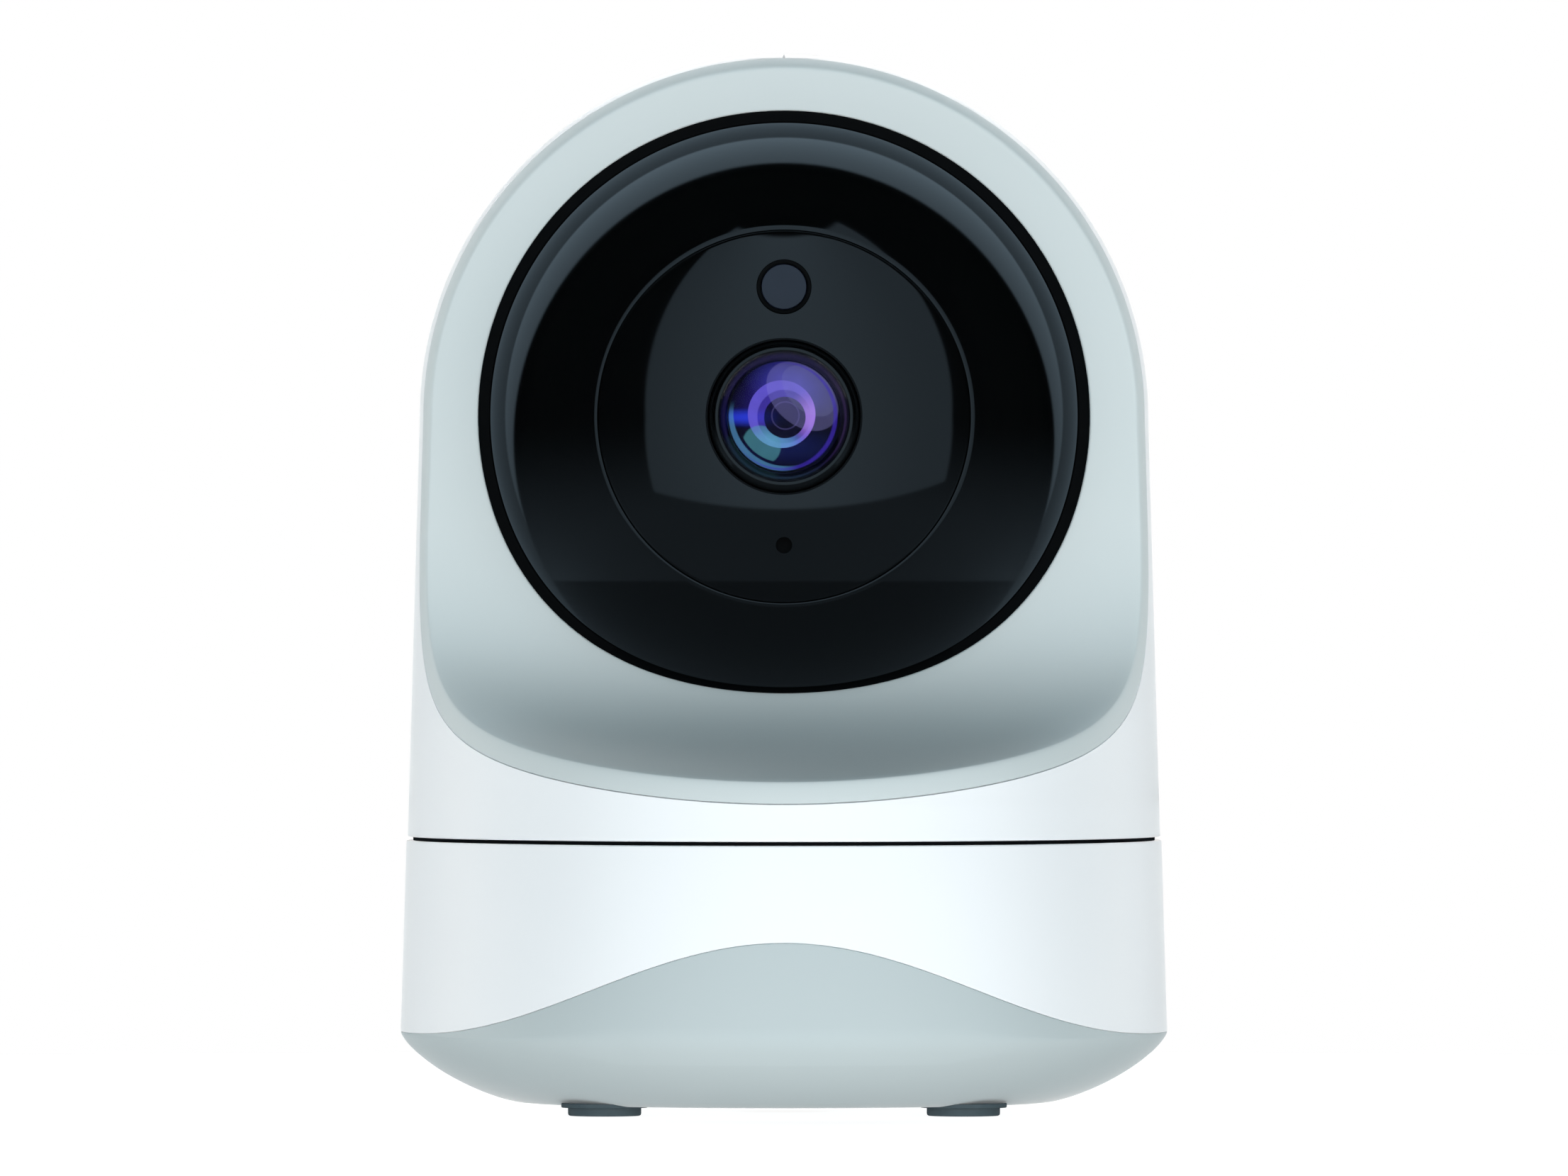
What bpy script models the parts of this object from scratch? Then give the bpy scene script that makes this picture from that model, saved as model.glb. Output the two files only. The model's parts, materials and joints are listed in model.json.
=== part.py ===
"""Indoor pan-and-tilt security camera, modelled as the real assembly of separate pieces.

The base stands on four rubber feet and holds the pan motor.  A domed turret turns on it
about the vertical axis.  A black ball, the camera head, tilts between two arms inside the
turret.  Z is up, the lens looks towards -Y, +X is to the right as seen from the front, and
the origin is on the floor below the middle of the base.
"""
import math

import bmesh
import bpy
from mathutils import Matrix, Vector

MM = 0.001

# ---- driving dimensions, in millimetres -------------------------------------------------
GAP = 0.3                    # clearance kept between neighbouring pieces
WALL = 2.0                   # wall of the moulded shells

BASE_RADIUS = 40.0           # widest point, where the side meets the bowl
BASE_TOP_RADIUS = 39.4
BASE_TOP = 28.3              # top of the deck that carries the turret
WAIST = 8.35                 # height where the bowl ends and the side begins
FLAT_RADIUS = 27.5           # flat middle of the bowl
FLOOR_HEIGHT = 1.0           # underside of the bowl above the ground
BOWL_POWER = 1.4             # roundness of the bowl's outline
WAVE_HEIGHT = 9.95           # rise of the tray's edge at the front and at the rear
WAVE_POWER = 4.8             # how quickly the rise falls off to the sides

HOOD_BOTTOM = 28.7
HOOD_BOTTOM_RADIUS = 39.25
HOOD_RADIUS = 38.0           # at the height of the ball's centre
DOME_RISE = 37.75            # from the ball's centre to the top
BALL_HEIGHT = 72.5           # tilt axis above the ground

BALL_RADIUS = 31.0
FACE_RADIUS = 19.3           # round cover plate around the lens
OPENING_RADIUS = 32.7        # sphere that the bezel's opening is cut with
BEZEL_THICKNESS = 2.0
BEZEL_FORWARD = 5.8          # how far forward the bezel's back is above and beside the ball
SCOOP_START = -10.0          # where the scoop below the ball begins, from the ball's centre
SCOOP_END = (39.4, -39.95)   # forward and down, at the hood's lower front edge
SCOOP_DROP = 23.0            # pull of the curve straight down from its start
SCOOP_RUN = 16.0             # pull of the curve back from its end
SCOOP_SLOPE = 0.33           # fall of the scoop at its front end

LENS_RING_RADIUS = 7.7
LENS_RADIUS = 5.9
LENS_HOLE_RADIUS = 8.0
WINDOW_OFFSET = 13.4         # infrared window above the lens
WINDOW_RADIUS = 2.5
MICROPHONE_OFFSET = -13.3    # microphone hole below the lens

FOOT_OFFSET = 18.6
FOOT_RADIUS = 3.8
FOOT_HEIGHT = 0.7

HUB_RADIUS = 10.5
HUB_BORE = 6.5
HUB_BOTTOM = 19.7
TURNTABLE_BOTTOM = 29.0
TURNTABLE_TOP = 31.0
TURNTABLE_RADIUS = 36.7

GEAR_MODULE = 0.75
PINION_TEETH = 8
PAN_GEAR_TEETH = 40
TILT_GEAR_TEETH = 20
PAN_CENTRES = GEAR_MODULE * (PAN_GEAR_TEETH + PINION_TEETH) / 2
TILT_CENTRES = GEAR_MODULE * (TILT_GEAR_TEETH + PINION_TEETH) / 2

HOOD_SCREW_RADIUS = 34.8
HOOD_SCREW_ANGLES = (-35, -145, 50, 130)
PORT_HEIGHT = 12.0
RESET_X = 9.5
RESET_HEIGHT = 12.4
CARD_ANGLE = math.radians(75)

SHELL_SEGMENTS = 44
BALL_SEGMENTS = 40
DOME_STEPS = 9
SMALL_SEGMENTS = 18
FRONT, RIGHT, UP = "front", "right", "up"
AXES = {
    UP: Matrix.Identity(4),
    FRONT: Matrix.Rotation(math.radians(90), 4, "X"),
    RIGHT: Matrix.Rotation(math.radians(90), 4, "Y"),
}


# ---- helpers ----------------------------------------------------------------------------
def clear_scene():
    for item in list(bpy.data.objects):
        bpy.data.objects.remove(item, do_unlink=True)


def linear(channel):
    channel /= 255
    return channel / 12.92 if channel <= 0.04045 else ((channel + 0.055) / 1.055) ** 2.4


def make_material(name, rgb, roughness, metallic=0.0, alpha=1.0):
    material = bpy.data.materials.new(name)
    material.use_nodes = True
    shader = material.node_tree.nodes["Principled BSDF"]
    shader.inputs["Base Color"].default_value = (*[linear(c) for c in rgb], 1.0)
    shader.inputs["Roughness"].default_value = roughness
    shader.inputs["Metallic"].default_value = metallic
    shader.inputs["Alpha"].default_value = alpha
    return material


def add_mesh(name, bm, material, parent, smooth=True):
    """Turn a bmesh in millimetres into an object with outward faces."""
    bmesh.ops.recalc_face_normals(bm, faces=bm.faces)
    bmesh.ops.scale(bm, vec=(MM, MM, MM), verts=bm.verts)
    mesh = bpy.data.meshes.new(name)
    bm.to_mesh(mesh)
    bm.free()
    if smooth:
        mesh.shade_smooth()
        mesh.set_sharp_from_angle(angle=math.radians(35))
    item = bpy.data.objects.new(name, mesh)
    bpy.context.scene.collection.objects.link(item)
    item.parent = parent
    if material:
        mesh.materials.append(material)
    else:
        item.hide_render = True
        item.display_type = "WIRE"
    return item


def turned(name, profile, material, parent, axis=UP, at=(0, 0, 0), segments=SMALL_SEGMENTS):
    """Turn (radius, height) points about an axis.

    The profile is a list, or a function of the angle that gives one.  It either starts and
    ends on the axis or it is a closed loop, which may touch the axis inside the list.
    """
    outline = profile if callable(profile) else lambda angle: profile
    bm = bmesh.new()
    rings = []
    for step in range(segments):
        angle = 2 * math.pi * step / segments
        rings.append([(r, h, angle) for r, h in outline(angle)])
    count = len(rings[0])
    on_axis = [rings[0][i][0] < 1e-6 for i in range(count)]
    poles = {i: bm.verts.new((0, 0, rings[0][i][1])) for i in range(count) if on_axis[i]}
    grid = [[poles[i] if on_axis[i] else bm.verts.new((r * math.cos(a), r * math.sin(a), h))
             for i, (r, h, a) in enumerate(ring)] for ring in rings]
    last = count - 1 if on_axis[0] and on_axis[-1] else count
    for step in range(segments):
        near, far = grid[step], grid[(step + 1) % segments]
        for i in range(last):
            corners = [near[i], near[(i + 1) % count], far[(i + 1) % count], far[i]]
            face = [v for k, v in enumerate(corners) if v not in corners[:k]]
            if len(face) > 2:
                bm.faces.new(face)
    bmesh.ops.transform(bm, matrix=Matrix.Translation(at) @ AXES[axis], verts=bm.verts)
    return add_mesh(name, bm, material, parent)


def rod(name, radius, low, high, material, parent, axis=UP, at=(0, 0, 0),
        segments=SMALL_SEGMENTS):
    profile = [(0, low), (radius, low), (radius, high), (0, high)]
    return turned(name, profile, material, parent, axis, at, segments)


def ring(name, inner, outer, low, high, material, parent, axis=UP, at=(0, 0, 0),
         segments=SMALL_SEGMENTS):
    profile = [(inner, low), (outer, low), (outer, high), (inner, high)]
    return turned(name, profile, material, parent, axis, at, segments)


def screw(name, head_radius, head, shank_radius, tip, material, parent, at):
    """A screw that stands head down: head is its (low, high) range, tip the shank's end."""
    low, high = head
    profile = [(0, low), (head_radius, low), (head_radius, high), (shank_radius, high),
               (shank_radius, tip), (0, tip)]
    return turned(name, profile, material, parent, UP, at, 12)


def extruded(name, outline, low, high, material, parent, axis=UP, at=(0, 0, 0)):
    """Extrude a closed (x, y) outline along the axis."""
    bm = bmesh.new()
    face = bm.faces.new([bm.verts.new((x, y, low)) for x, y in outline])
    grown = bmesh.ops.extrude_face_region(bm, geom=[face])
    moved = [v for v in grown["geom"] if isinstance(v, bmesh.types.BMVert)]
    bmesh.ops.translate(bm, vec=(0, 0, high - low), verts=moved)
    bmesh.ops.transform(bm, matrix=Matrix.Translation(at) @ AXES[axis], verts=bm.verts)
    return add_mesh(name, bm, material, parent)


def boxes(name, ranges, material, parent, turn=None):
    """Boxes given by their (x, y, z) ranges, as one mesh."""
    bm = bmesh.new()
    for x, y, z in ranges:
        size = Vector((x[1] - x[0], y[1] - y[0], z[1] - z[0]))
        middle = Vector((x[0] + x[1], y[0] + y[1], z[0] + z[1])) / 2
        place = Matrix.Translation(middle) @ Matrix.Diagonal((*size, 1))
        bmesh.ops.create_cube(bm, size=1, matrix=turn @ place if turn else place)
    return add_mesh(name, bm, material, parent, smooth=False)


def box(name, x, y, z, material, parent, turn=None):
    return boxes(name, [(x, y, z)], material, parent, turn)


def combine(target, tool, operation):
    modifier = target.modifiers.new(tool.name, "BOOLEAN")
    modifier.operation = operation
    modifier.object = tool
    modifier.solver = "EXACT"
    return target


def cut(target, tool):
    return combine(target, tool, "DIFFERENCE")


def unite(target, tool):
    return combine(target, tool, "UNION")


def keep_common(target, tool):
    return combine(target, tool, "INTERSECT")


def arc(radius, start, end, steps):
    """Points (radius from the axis, height) on a sphere, by the angle from the axis."""
    angles = [start + (end - start) * i / steps for i in range(steps + 1)]
    return [(radius * math.sin(a), radius * math.cos(a)) for a in angles]


def curve(p0, p1, p2, p3, steps):
    """Points on a cubic curve, without its last point."""
    points = []
    for i in range(steps):
        t = i / steps
        weights = ((1 - t) ** 3, 3 * t * (1 - t) ** 2, 3 * t * t * (1 - t), t ** 3)
        points.append(tuple(sum(w * p[k] for w, p in zip(weights, (p0, p1, p2, p3)))
                            for k in (0, 1)))
    return points


def toothed(teeth, phase=0.0):
    """Outline of a gear with slim straight-sided teeth, so a pair runs with backlash."""
    pitch_radius = GEAR_MODULE * teeth / 2
    root = pitch_radius - 1.2 * GEAR_MODULE
    tip = pitch_radius + 0.7 * GEAR_MODULE
    step = 2 * math.pi / teeth
    corners = ((-0.23, root), (-0.09, tip), (0.09, tip), (0.23, root))
    return [(r * math.cos(phase + (k + share) * step), r * math.sin(phase + (k + share) * step))
            for k in range(teeth) for share, r in corners]


# ---- shapes shared by several pieces ----------------------------------------------------
def side_radius(height):
    """Outer radius of the base's drafted side."""
    share = (height - WAIST) / (BASE_TOP - WAIST)
    return BASE_RADIUS + (BASE_TOP_RADIUS - BASE_RADIUS) * share


def bowl_point(share):
    """Outer surface of the bowl, from the flat middle (0) to the waist (1)."""
    angle = share * math.pi / 2
    reach = BASE_RADIUS - FLAT_RADIUS
    rise = WAIST - FLOOR_HEIGHT
    return (FLAT_RADIUS + reach * math.sin(angle) ** (2 / BOWL_POWER),
            WAIST - rise * math.cos(angle) ** (2 / BOWL_POWER))


def wave(angle):
    """Height of the tray's edge: it swells at the front and at the rear."""
    return WAIST + WAVE_HEIGHT * abs(math.sin(angle)) ** WAVE_POWER


def hood_profile(inset, bottom, steps):
    """Outline of the hood from its foot, over the dome, to the axis."""
    radius = HOOD_RADIUS - inset
    rise = DOME_RISE - inset
    points = [(HOOD_BOTTOM_RADIUS - inset, bottom)]
    for i in range(steps + 1):
        angle = math.pi / 2 * i / steps
        points.append((radius * math.cos(angle), BALL_HEIGHT + rise * math.sin(angle)))
    points[-1] = (0, BALL_HEIGHT + rise)
    return points


def bezel_line(offset):
    """Side view of the bezel's back (offset 0): (forward, up) from the ball's centre."""
    crest = (BEZEL_FORWARD, DOME_RISE + 3)
    start = (BEZEL_FORWARD, SCOOP_START)
    low_start = (BEZEL_FORWARD, SCOOP_START - SCOOP_DROP)
    low_end = (SCOOP_END[0] - SCOOP_RUN, SCOOP_END[1] + SCOOP_RUN * SCOOP_SLOPE)
    lower = curve(start, low_start, low_end, SCOOP_END, 12)
    tail = (SCOOP_END[0] + 6, SCOOP_END[1] - 6 * SCOOP_SLOPE)
    points = [Vector(p) for p in [crest] + lower + [SCOOP_END, tail]]
    moved = []
    for i, point in enumerate(points):
        along = points[min(i + 1, len(points) - 1)] - points[max(i - 1, 0)]
        normal = Vector((-along.y, along.x)).normalized()
        moved.append(point + normal * offset)
    return moved


def bezel_strip(name, back, front, material, parent, half_width):
    """Solid between two offsets of the bezel's line, extruded across the camera."""
    outline = bezel_line(back) + list(reversed(bezel_line(front)))
    return across(name, outline, material, parent, half_width)


def across(name, outline, material, parent, half_width):
    """Extrude a (forward, up) outline from left to right at the ball's height."""
    points = [(-(up + BALL_HEIGHT), -forward) for forward, up in outline]
    return extruded(name, points, -half_width, half_width, material, parent, RIGHT)


# ---- materials --------------------------------------------------------------------------
def make_materials():
    return {
        "white": make_material("white_plastic", (240, 243, 245), 0.38),
        "grey": make_material("grey_plastic", (196, 208, 211), 0.42),
        "black": make_material("black_gloss", (10, 10, 12), 0.08),
        "dark": make_material("dark_plastic", (24, 25, 27), 0.5),
        "glass": make_material("lens_glass", (40, 34, 70), 0.03, 0.0, 0.5),
        "window": make_material("infrared_window", (30, 36, 48), 0.08),
        "rubber": make_material("foot_rubber", (84, 96, 104), 0.7),
        "nylon": make_material("gear_nylon", (228, 224, 210), 0.5),
        "steel": make_material("steel", (150, 153, 156), 0.35, 1.0),
        "brass": make_material("brass", (196, 164, 92), 0.35, 1.0),
        "board": make_material("circuit_board", (30, 84, 58), 0.45),
        "chip": make_material("chip_black", (26, 26, 28), 0.55),
    }


# ---- base -------------------------------------------------------------------------------
FEET = {
    "front_left": (-FOOT_OFFSET, -FOOT_OFFSET, 0),
    "front_right": (FOOT_OFFSET, -FOOT_OFFSET, 0),
    "rear_left": (-FOOT_OFFSET, FOOT_OFFSET, 0),
    "rear_right": (FOOT_OFFSET, FOOT_OFFSET, 0),
}
LIP_INSET = 1.0              # the tray's lip stands inside the housing's edge
LIP_HEIGHT = 1.5
INSERT_RADIUS = 4.8
POST_BOTTOM = 9.0


def tray_section(angle):
    edge = wave(angle)
    outer = side_radius(edge)
    inner = outer - WALL + 0.1
    seat = INSERT_RADIUS + GAP
    return ([(seat, FLOOR_HEIGHT)] + [bowl_point(s / 4) for s in range(4)]
            + [(BASE_RADIUS - 0.35, WAIST - 0.6), (outer, edge), (outer - LIP_INSET, edge),
               (outer - LIP_INSET, edge + LIP_HEIGHT), (inner, edge + LIP_HEIGHT),
               (BASE_RADIUS - WALL, WAIST), (28.0, 3.9), (7.4, 3.2), (7.4, POST_BOTTOM),
               (seat, POST_BOTTOM)])


def housing_section(angle):
    edge = wave(angle) + GAP
    outer = side_radius(edge)
    skirt = outer - LIP_INSET + GAP
    ledge = edge + LIP_HEIGHT
    return [(outer, edge), (skirt, edge), (skirt, ledge), (outer - WALL, ledge),
            (BASE_TOP_RADIUS - WALL, BASE_TOP - WALL), (11.0, BASE_TOP - WALL),
            (11.0, BASE_TOP), (12.0, BASE_TOP), (12.0, BASE_TOP - 0.8),
            (16.0, BASE_TOP - 0.8), (16.0, BASE_TOP), (BASE_TOP_RADIUS - 0.5, BASE_TOP),
            (BASE_TOP_RADIUS, BASE_TOP - 0.5)]


def build_base(mats, root):
    tray = turned("base_tray", tray_section, mats["grey"], root, segments=SHELL_SEGMENTS)
    for place, at in FEET.items():
        boss = rod("tool_foot_boss_" + place, FOOT_RADIUS + 0.6, FLOOR_HEIGHT, POST_BOTTOM - GAP,
                   None, root, at=at)
        counterbore = rod("tool_foot_recess_" + place, 2.7, 0, 3.8, None, root, at=at)
        bore = rod("tool_foot_bore_" + place, 1.6, 0, POST_BOTTOM + 1, None, root, at=at,
                   segments=12)
        cut(cut(unite(tray, boss), counterbore), bore)
        rod("foot_" + place, FOOT_RADIUS, 0, FOOT_HEIGHT, mats["rubber"], root, at=at)
        screw("base_screw_" + place, 2.3, (2.0, 3.5), 1.3, 15.0, mats["steel"], root, at)
    port = box("tool_power_port", (-4.3, 4.3), (35, 42), (PORT_HEIGHT - 1.8, PORT_HEIGHT + 1.8),
               None, root)
    reset_hole = rod("tool_reset_hole", 1.6, -42, -35, None, root, FRONT,
                     (RESET_X, 0, RESET_HEIGHT), 16)
    cut(cut(tray, port), reset_hole)
    ring("tripod_insert", 3.05, INSERT_RADIUS, FLOOR_HEIGHT + 0.1, POST_BOTTOM, mats["brass"],
         root)

    housing = turned("base_housing", housing_section, mats["white"], root,
                     segments=SHELL_SEGMENTS)
    for place, at in FEET.items():
        post = rod("tool_post_" + place, 2.8, POST_BOTTOM, BASE_TOP - 1, None, root, at=at,
                   segments=16)
        bore = rod("tool_post_bore_" + place, 1.6, POST_BOTTOM - 1, 17, None, root, at=at,
                   segments=12)
        cut(unite(housing, post), bore)
    build_pan_drive(mats, root, housing)
    build_power(mats, root)

    ballast = extruded("ballast_plate", half_disc(26.5, 4.5), 4.1, 7.6, mats["steel"], root)
    cut(ballast, rod("tool_ballast_centre", 8.0, 3, 9, None, root))
    for place in ("front_left", "front_right"):
        hole = rod("tool_ballast_" + place, 4.9, 3, 9, None, root, at=FEET[place])
        cut(ballast, hole)


def half_disc(radius, rear):
    """Disc cut off straight behind the middle."""
    start = math.asin(rear / radius)
    span = -math.pi - 2 * start
    steps = 22
    return [(radius * math.cos(start + span * i / steps),
             radius * math.sin(start + span * i / steps)) for i in range(steps + 1)]


def build_pan_drive(mats, root, housing):
    """Stepper motor below the deck, with its ears screwed up into two posts."""
    motor_at = (0, PAN_CENTRES, 0)
    motor = rod("pan_motor", 10.0, 4.7, 18.2, mats["steel"], root, at=motor_at, segments=28)
    ears = box("tool_motor_ears", (-15.1, 15.1), (PAN_CENTRES - 2.6, PAN_CENTRES + 2.6),
               (17.2, 18.0), None, root)
    unite(motor, ears)
    unite(motor, rod("tool_motor_boss", 3.5, 17.7, 19.4, None, root, at=motor_at))
    cut(motor, rod("tool_motor_bearing", 1.4, 14.2, 20.2, None, root, at=motor_at, segments=12))
    for side, x in (("left", -12.5), ("right", 12.5)):
        at = (x, PAN_CENTRES, 0)
        post = rod("tool_motor_post_" + side, 2.2, 18.4, BASE_TOP - 1, None, root, at=at,
                   segments=16)
        bore = rod("tool_motor_post_bore_" + side, 1.1, 18.2, 23.7, None, root, at=at,
                   segments=12)
        cut(unite(housing, post), bore)
        cut(motor, rod("tool_ear_hole_" + side, 1.1, 16.2, 19.2, None, root, at=at, segments=12))
        screw("pan_motor_screw_" + side, 1.7, (15.8, 16.9), 0.8, 22.2, mats["steel"], root, at)
    ring("pan_thrust_washer", 12.4, 15.6, BASE_TOP - 0.5, BASE_TOP + 0.4, mats["nylon"], root,
         segments=36)


def build_power(mats, root):
    """Power board with its socket and the switch behind the reset button."""
    box("power_board", (-13, 13), (28.8, 35.0), (8.8, 10.2), mats["board"], root)
    low, high = PORT_HEIGHT - 1.4, PORT_HEIGHT + 1.4
    socket = box("power_socket", (-3.8, 3.8), (31.7, 37.7), (low, high), mats["steel"], root)
    cut(socket, box("tool_socket_mouth", (-3.4, 3.4), (33.2, 38.5), (low + 0.4, high - 0.4),
                    None, root))
    box("reset_switch", (RESET_X - 1.8, RESET_X + 1.8), (31.0, 34.5), (10.5, 14.1),
        mats["chip"], root)


def build_reset_button(mats, body):
    """Small plunger behind the hole beside the power socket; it is pressed inwards."""
    profile = [(0, 35.3), (2.0, 35.3), (2.0, 36.0), (1.25, 36.0), (1.25, 38.6), (0, 38.6)]
    mirrored = [(r, -h) for r, h in profile]
    turned("reset_button", mirrored, mats["dark"], body, FRONT,
           (RESET_X, 0, RESET_HEIGHT), 16)


def build_pan_pinion(mats, body):
    """Modelled about its own axis, which the parent stands on."""
    pinion = extruded("pan_pinion", toothed(PINION_TEETH, math.pi / PINION_TEETH), 22.2, 25.6,
                      mats["brass"], body)
    unite(pinion, rod("tool_pan_shaft", 1.0, 15.2, 22.7, None, body, segments=12))


# ---- turret -----------------------------------------------------------------------------
def build_hood(mats, body):
    outer = hood_profile(0, HOOD_BOTTOM, DOME_STEPS)
    inner = list(reversed(hood_profile(WALL, HOOD_BOTTOM, DOME_STEPS - 3)))
    hood = turned("hood_shell", outer + inner, mats["white"], body, segments=SHELL_SEGMENTS)
    front_space = bezel_line(-GAP) + [Vector((60, -42.5)), Vector((60, 60)),
                                      Vector((BEZEL_FORWARD, 60))]
    cut(hood, across("tool_hood_front", front_space, None, body, 45))
    for number, angle in enumerate(HOOD_SCREW_ANGLES, 1):
        at = (HOOD_SCREW_RADIUS * math.cos(math.radians(angle)),
              HOOD_SCREW_RADIUS * math.sin(math.radians(angle)), 0)
        boss = rod("tool_hood_boss_%d" % number, 2.5, TURNTABLE_TOP + GAP, 35.4, None, body,
                   at=at, segments=14)
        bore = rod("tool_hood_bore_%d" % number, 1.1, TURNTABLE_TOP, 34.2, None, body, at=at,
                   segments=12)
        cut(unite(hood, boss), bore)
        screw("hood_screw_%d" % number, 1.5, (29.2, 29.9), 0.8, 33.7, mats["steel"], body, at)
    slots = [((x - 0.6, x + 0.6), (34.0, 42.0), (34.7, 41.7))
             for x in [2.4 * i for i in range(-4, 5)]]
    cut(hood, boxes("tool_speaker_slots", slots, None, body))


def build_bezel(mats, body):
    bezel = bezel_strip("front_bezel", 0, BEZEL_THICKNESS, mats["grey"], body, 45)
    outline = [(0, HOOD_BOTTOM)] + hood_profile(0, HOOD_BOTTOM, DOME_STEPS)
    envelope = turned("tool_hood_envelope", outline, None, body, segments=SHELL_SEGMENTS)
    keep_common(bezel, envelope)
    opening = turned("tool_ball_opening", arc(OPENING_RADIUS, 0, math.pi, 20), None, body,
                     FRONT, (0, 0, BALL_HEIGHT), BALL_SEGMENTS)
    cut(bezel, opening)


def build_gasket(mats, body):
    """Dark ring that closes the gap between the bezel and the ball."""
    outer = arc(OPENING_RADIUS - GAP, math.radians(56), math.radians(104), 6)
    inner = arc(BALL_RADIUS + 0.6, math.radians(104), math.radians(56), 6)
    gasket = turned("ball_gasket", outer + inner, mats["dark"], body, FRONT,
                    (0, 0, BALL_HEIGHT), BALL_SEGMENTS)
    keep_common(gasket, bezel_strip("tool_gasket_band", -2.4, -GAP, None,
                                    body, 45))


def build_turntable(mats, body):
    section = [(HUB_BORE, HUB_BOTTOM), (HUB_RADIUS, HUB_BOTTOM), (HUB_RADIUS, TURNTABLE_BOTTOM),
               (TURNTABLE_RADIUS, TURNTABLE_BOTTOM), (TURNTABLE_RADIUS, TURNTABLE_TOP),
               (HUB_BORE, TURNTABLE_TOP)]
    table = turned("turntable", section, mats["dark"], body, segments=BALL_SEGMENTS)
    for number, angle in enumerate(HOOD_SCREW_ANGLES, 1):
        at = (HOOD_SCREW_RADIUS * math.cos(math.radians(angle)),
              HOOD_SCREW_RADIUS * math.sin(math.radians(angle)), 0)
        cut(table, rod("tool_table_recess_%d" % number, 1.8, 28.2, 30.2, None, body, at=at,
                       segments=12))
        cut(table, rod("tool_table_hole_%d" % number, 1.1, 28.2, 32.2, None, body, at=at,
                       segments=12))
    gear = extruded("pan_gear", toothed(PAN_GEAR_TEETH), 22.5, 25.5, mats["nylon"], body)
    cut(gear, rod("tool_pan_gear_bore", HUB_RADIUS + GAP, 21.2, 27.2, None, body, segments=36))
    ring("hub_retainer", HUB_RADIUS + GAP, 13.2, 20.6, 22.2, mats["steel"], body, segments=36)


def build_arms(mats, body):
    """Two arms carry the head: a pin on the left, the fixed tilt gear on the right."""
    for side, sign in (("left", -1), ("right", 1)):
        name = "tilt_arm_" + side
        arm = box(name, sorted((sign * 32.8, sign * 34.6)), (-3.4, 6.0),
                  (TURNTABLE_TOP + GAP, BALL_HEIGHT + 3.8), mats["dark"], body)
        flange = box("tool_flange_" + side, sorted((sign * 27.0, sign * 34.0)), (-3.4, 6.0),
                     (TURNTABLE_TOP + GAP, 33.1), None, body)
        hole = rod("tool_arm_hole_" + side, 2.3, -40, 40, None, body, RIGHT,
                   (0, 0, BALL_HEIGHT), 16)
        cut(unite(arm, flange), hole)
    pin = [(0, -34.4), (2.0, -34.4), (2.0, -28.0), (3.4, -28.0), (3.4, -26.6), (0, -26.6)]
    turned("tilt_pin", pin, mats["steel"], body, RIGHT, (0, 0, BALL_HEIGHT))
    gear = extruded("tilt_gear", toothed(TILT_GEAR_TEETH), 21.5, 24.0, mats["nylon"], body,
                    RIGHT, (0, 0, BALL_HEIGHT))
    unite(gear, rod("tool_tilt_shaft", 2.0, 23.0, 34.4, None, body, RIGHT,
                    (0, 0, BALL_HEIGHT), 16))


def build_turret_electronics(mats, body):
    ring("main_board", 5.0, 24.0, 32.6, 34.2, mats["board"], body, segments=36)
    box("processor", (6.5, 18.5), (-6, 6), (34.5, 36.0), mats["chip"], body)
    box("speaker", (-11, 11), (29.3, 34.2), (33.7, 42.7), mats["dark"], body)
    place = Matrix.Rotation(math.radians(145), 4, "Z")
    box("wifi_antenna", (32.6, 33.4), (-4, 4), (36.2, 65.2), mats["board"], body, place)


# ---- head, modelled about the centre of the ball ----------------------------------------
def build_ball(mats, head):
    rim = math.asin((FACE_RADIUS + GAP) / BALL_RADIUS)
    inner_radius = BALL_RADIUS - WALL
    split = math.pi / 2
    lip_back = 19.3
    lip_front = 21.3
    lip_angle = math.acos(lip_back / inner_radius)
    front = (arc(BALL_RADIUS, rim, split, 5) + arc(inner_radius, split, lip_angle, 3)
             + [(17.0, lip_back), (17.0, lip_front), (FACE_RADIUS + GAP, lip_front)])
    front = [(r, max(h, GAP / 2)) for r, h in front]
    outer, inner = arc(BALL_RADIUS, split, math.pi, 6), arc(inner_radius, math.pi, split, 5)
    outer[-1], inner[0] = (0, -BALL_RADIUS), (0, -inner_radius)
    rear = [(r, min(h, -GAP / 2)) for r, h in outer + inner]
    front_shell = turned("ball_front_shell", front, mats["black"], head, FRONT,
                         segments=BALL_SEGMENTS)
    rear_shell = turned("ball_rear_shell", rear, mats["black"], head, FRONT,
                        segments=BALL_SEGMENTS)
    for shell, side in ((front_shell, "front"), (rear_shell, "rear")):
        cut(shell, rod("tool_trunnion_" + side, 2.5, -35, 35, None, head, RIGHT, segments=16))
    slant = Matrix.Rotation(math.radians(40), 4, "X")
    cut(rear_shell, box("tool_cable_hole", (-5, 5), (20, 40), (-3, 3), None, head,
                        slant.inverted()))
    tilt = Matrix.Rotation(CARD_ANGLE, 4, "X")
    slot = box("tool_card_slot", (-6.5, 6.5), (-35, -25), (-0.7, 0.7), None, head, tilt)
    cut(front_shell, slot)
    box("memory_card_socket", (-7.5, 7.5), (-27.2, -14.0), (-1.2, 1.2), mats["steel"], head,
        tilt)


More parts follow.
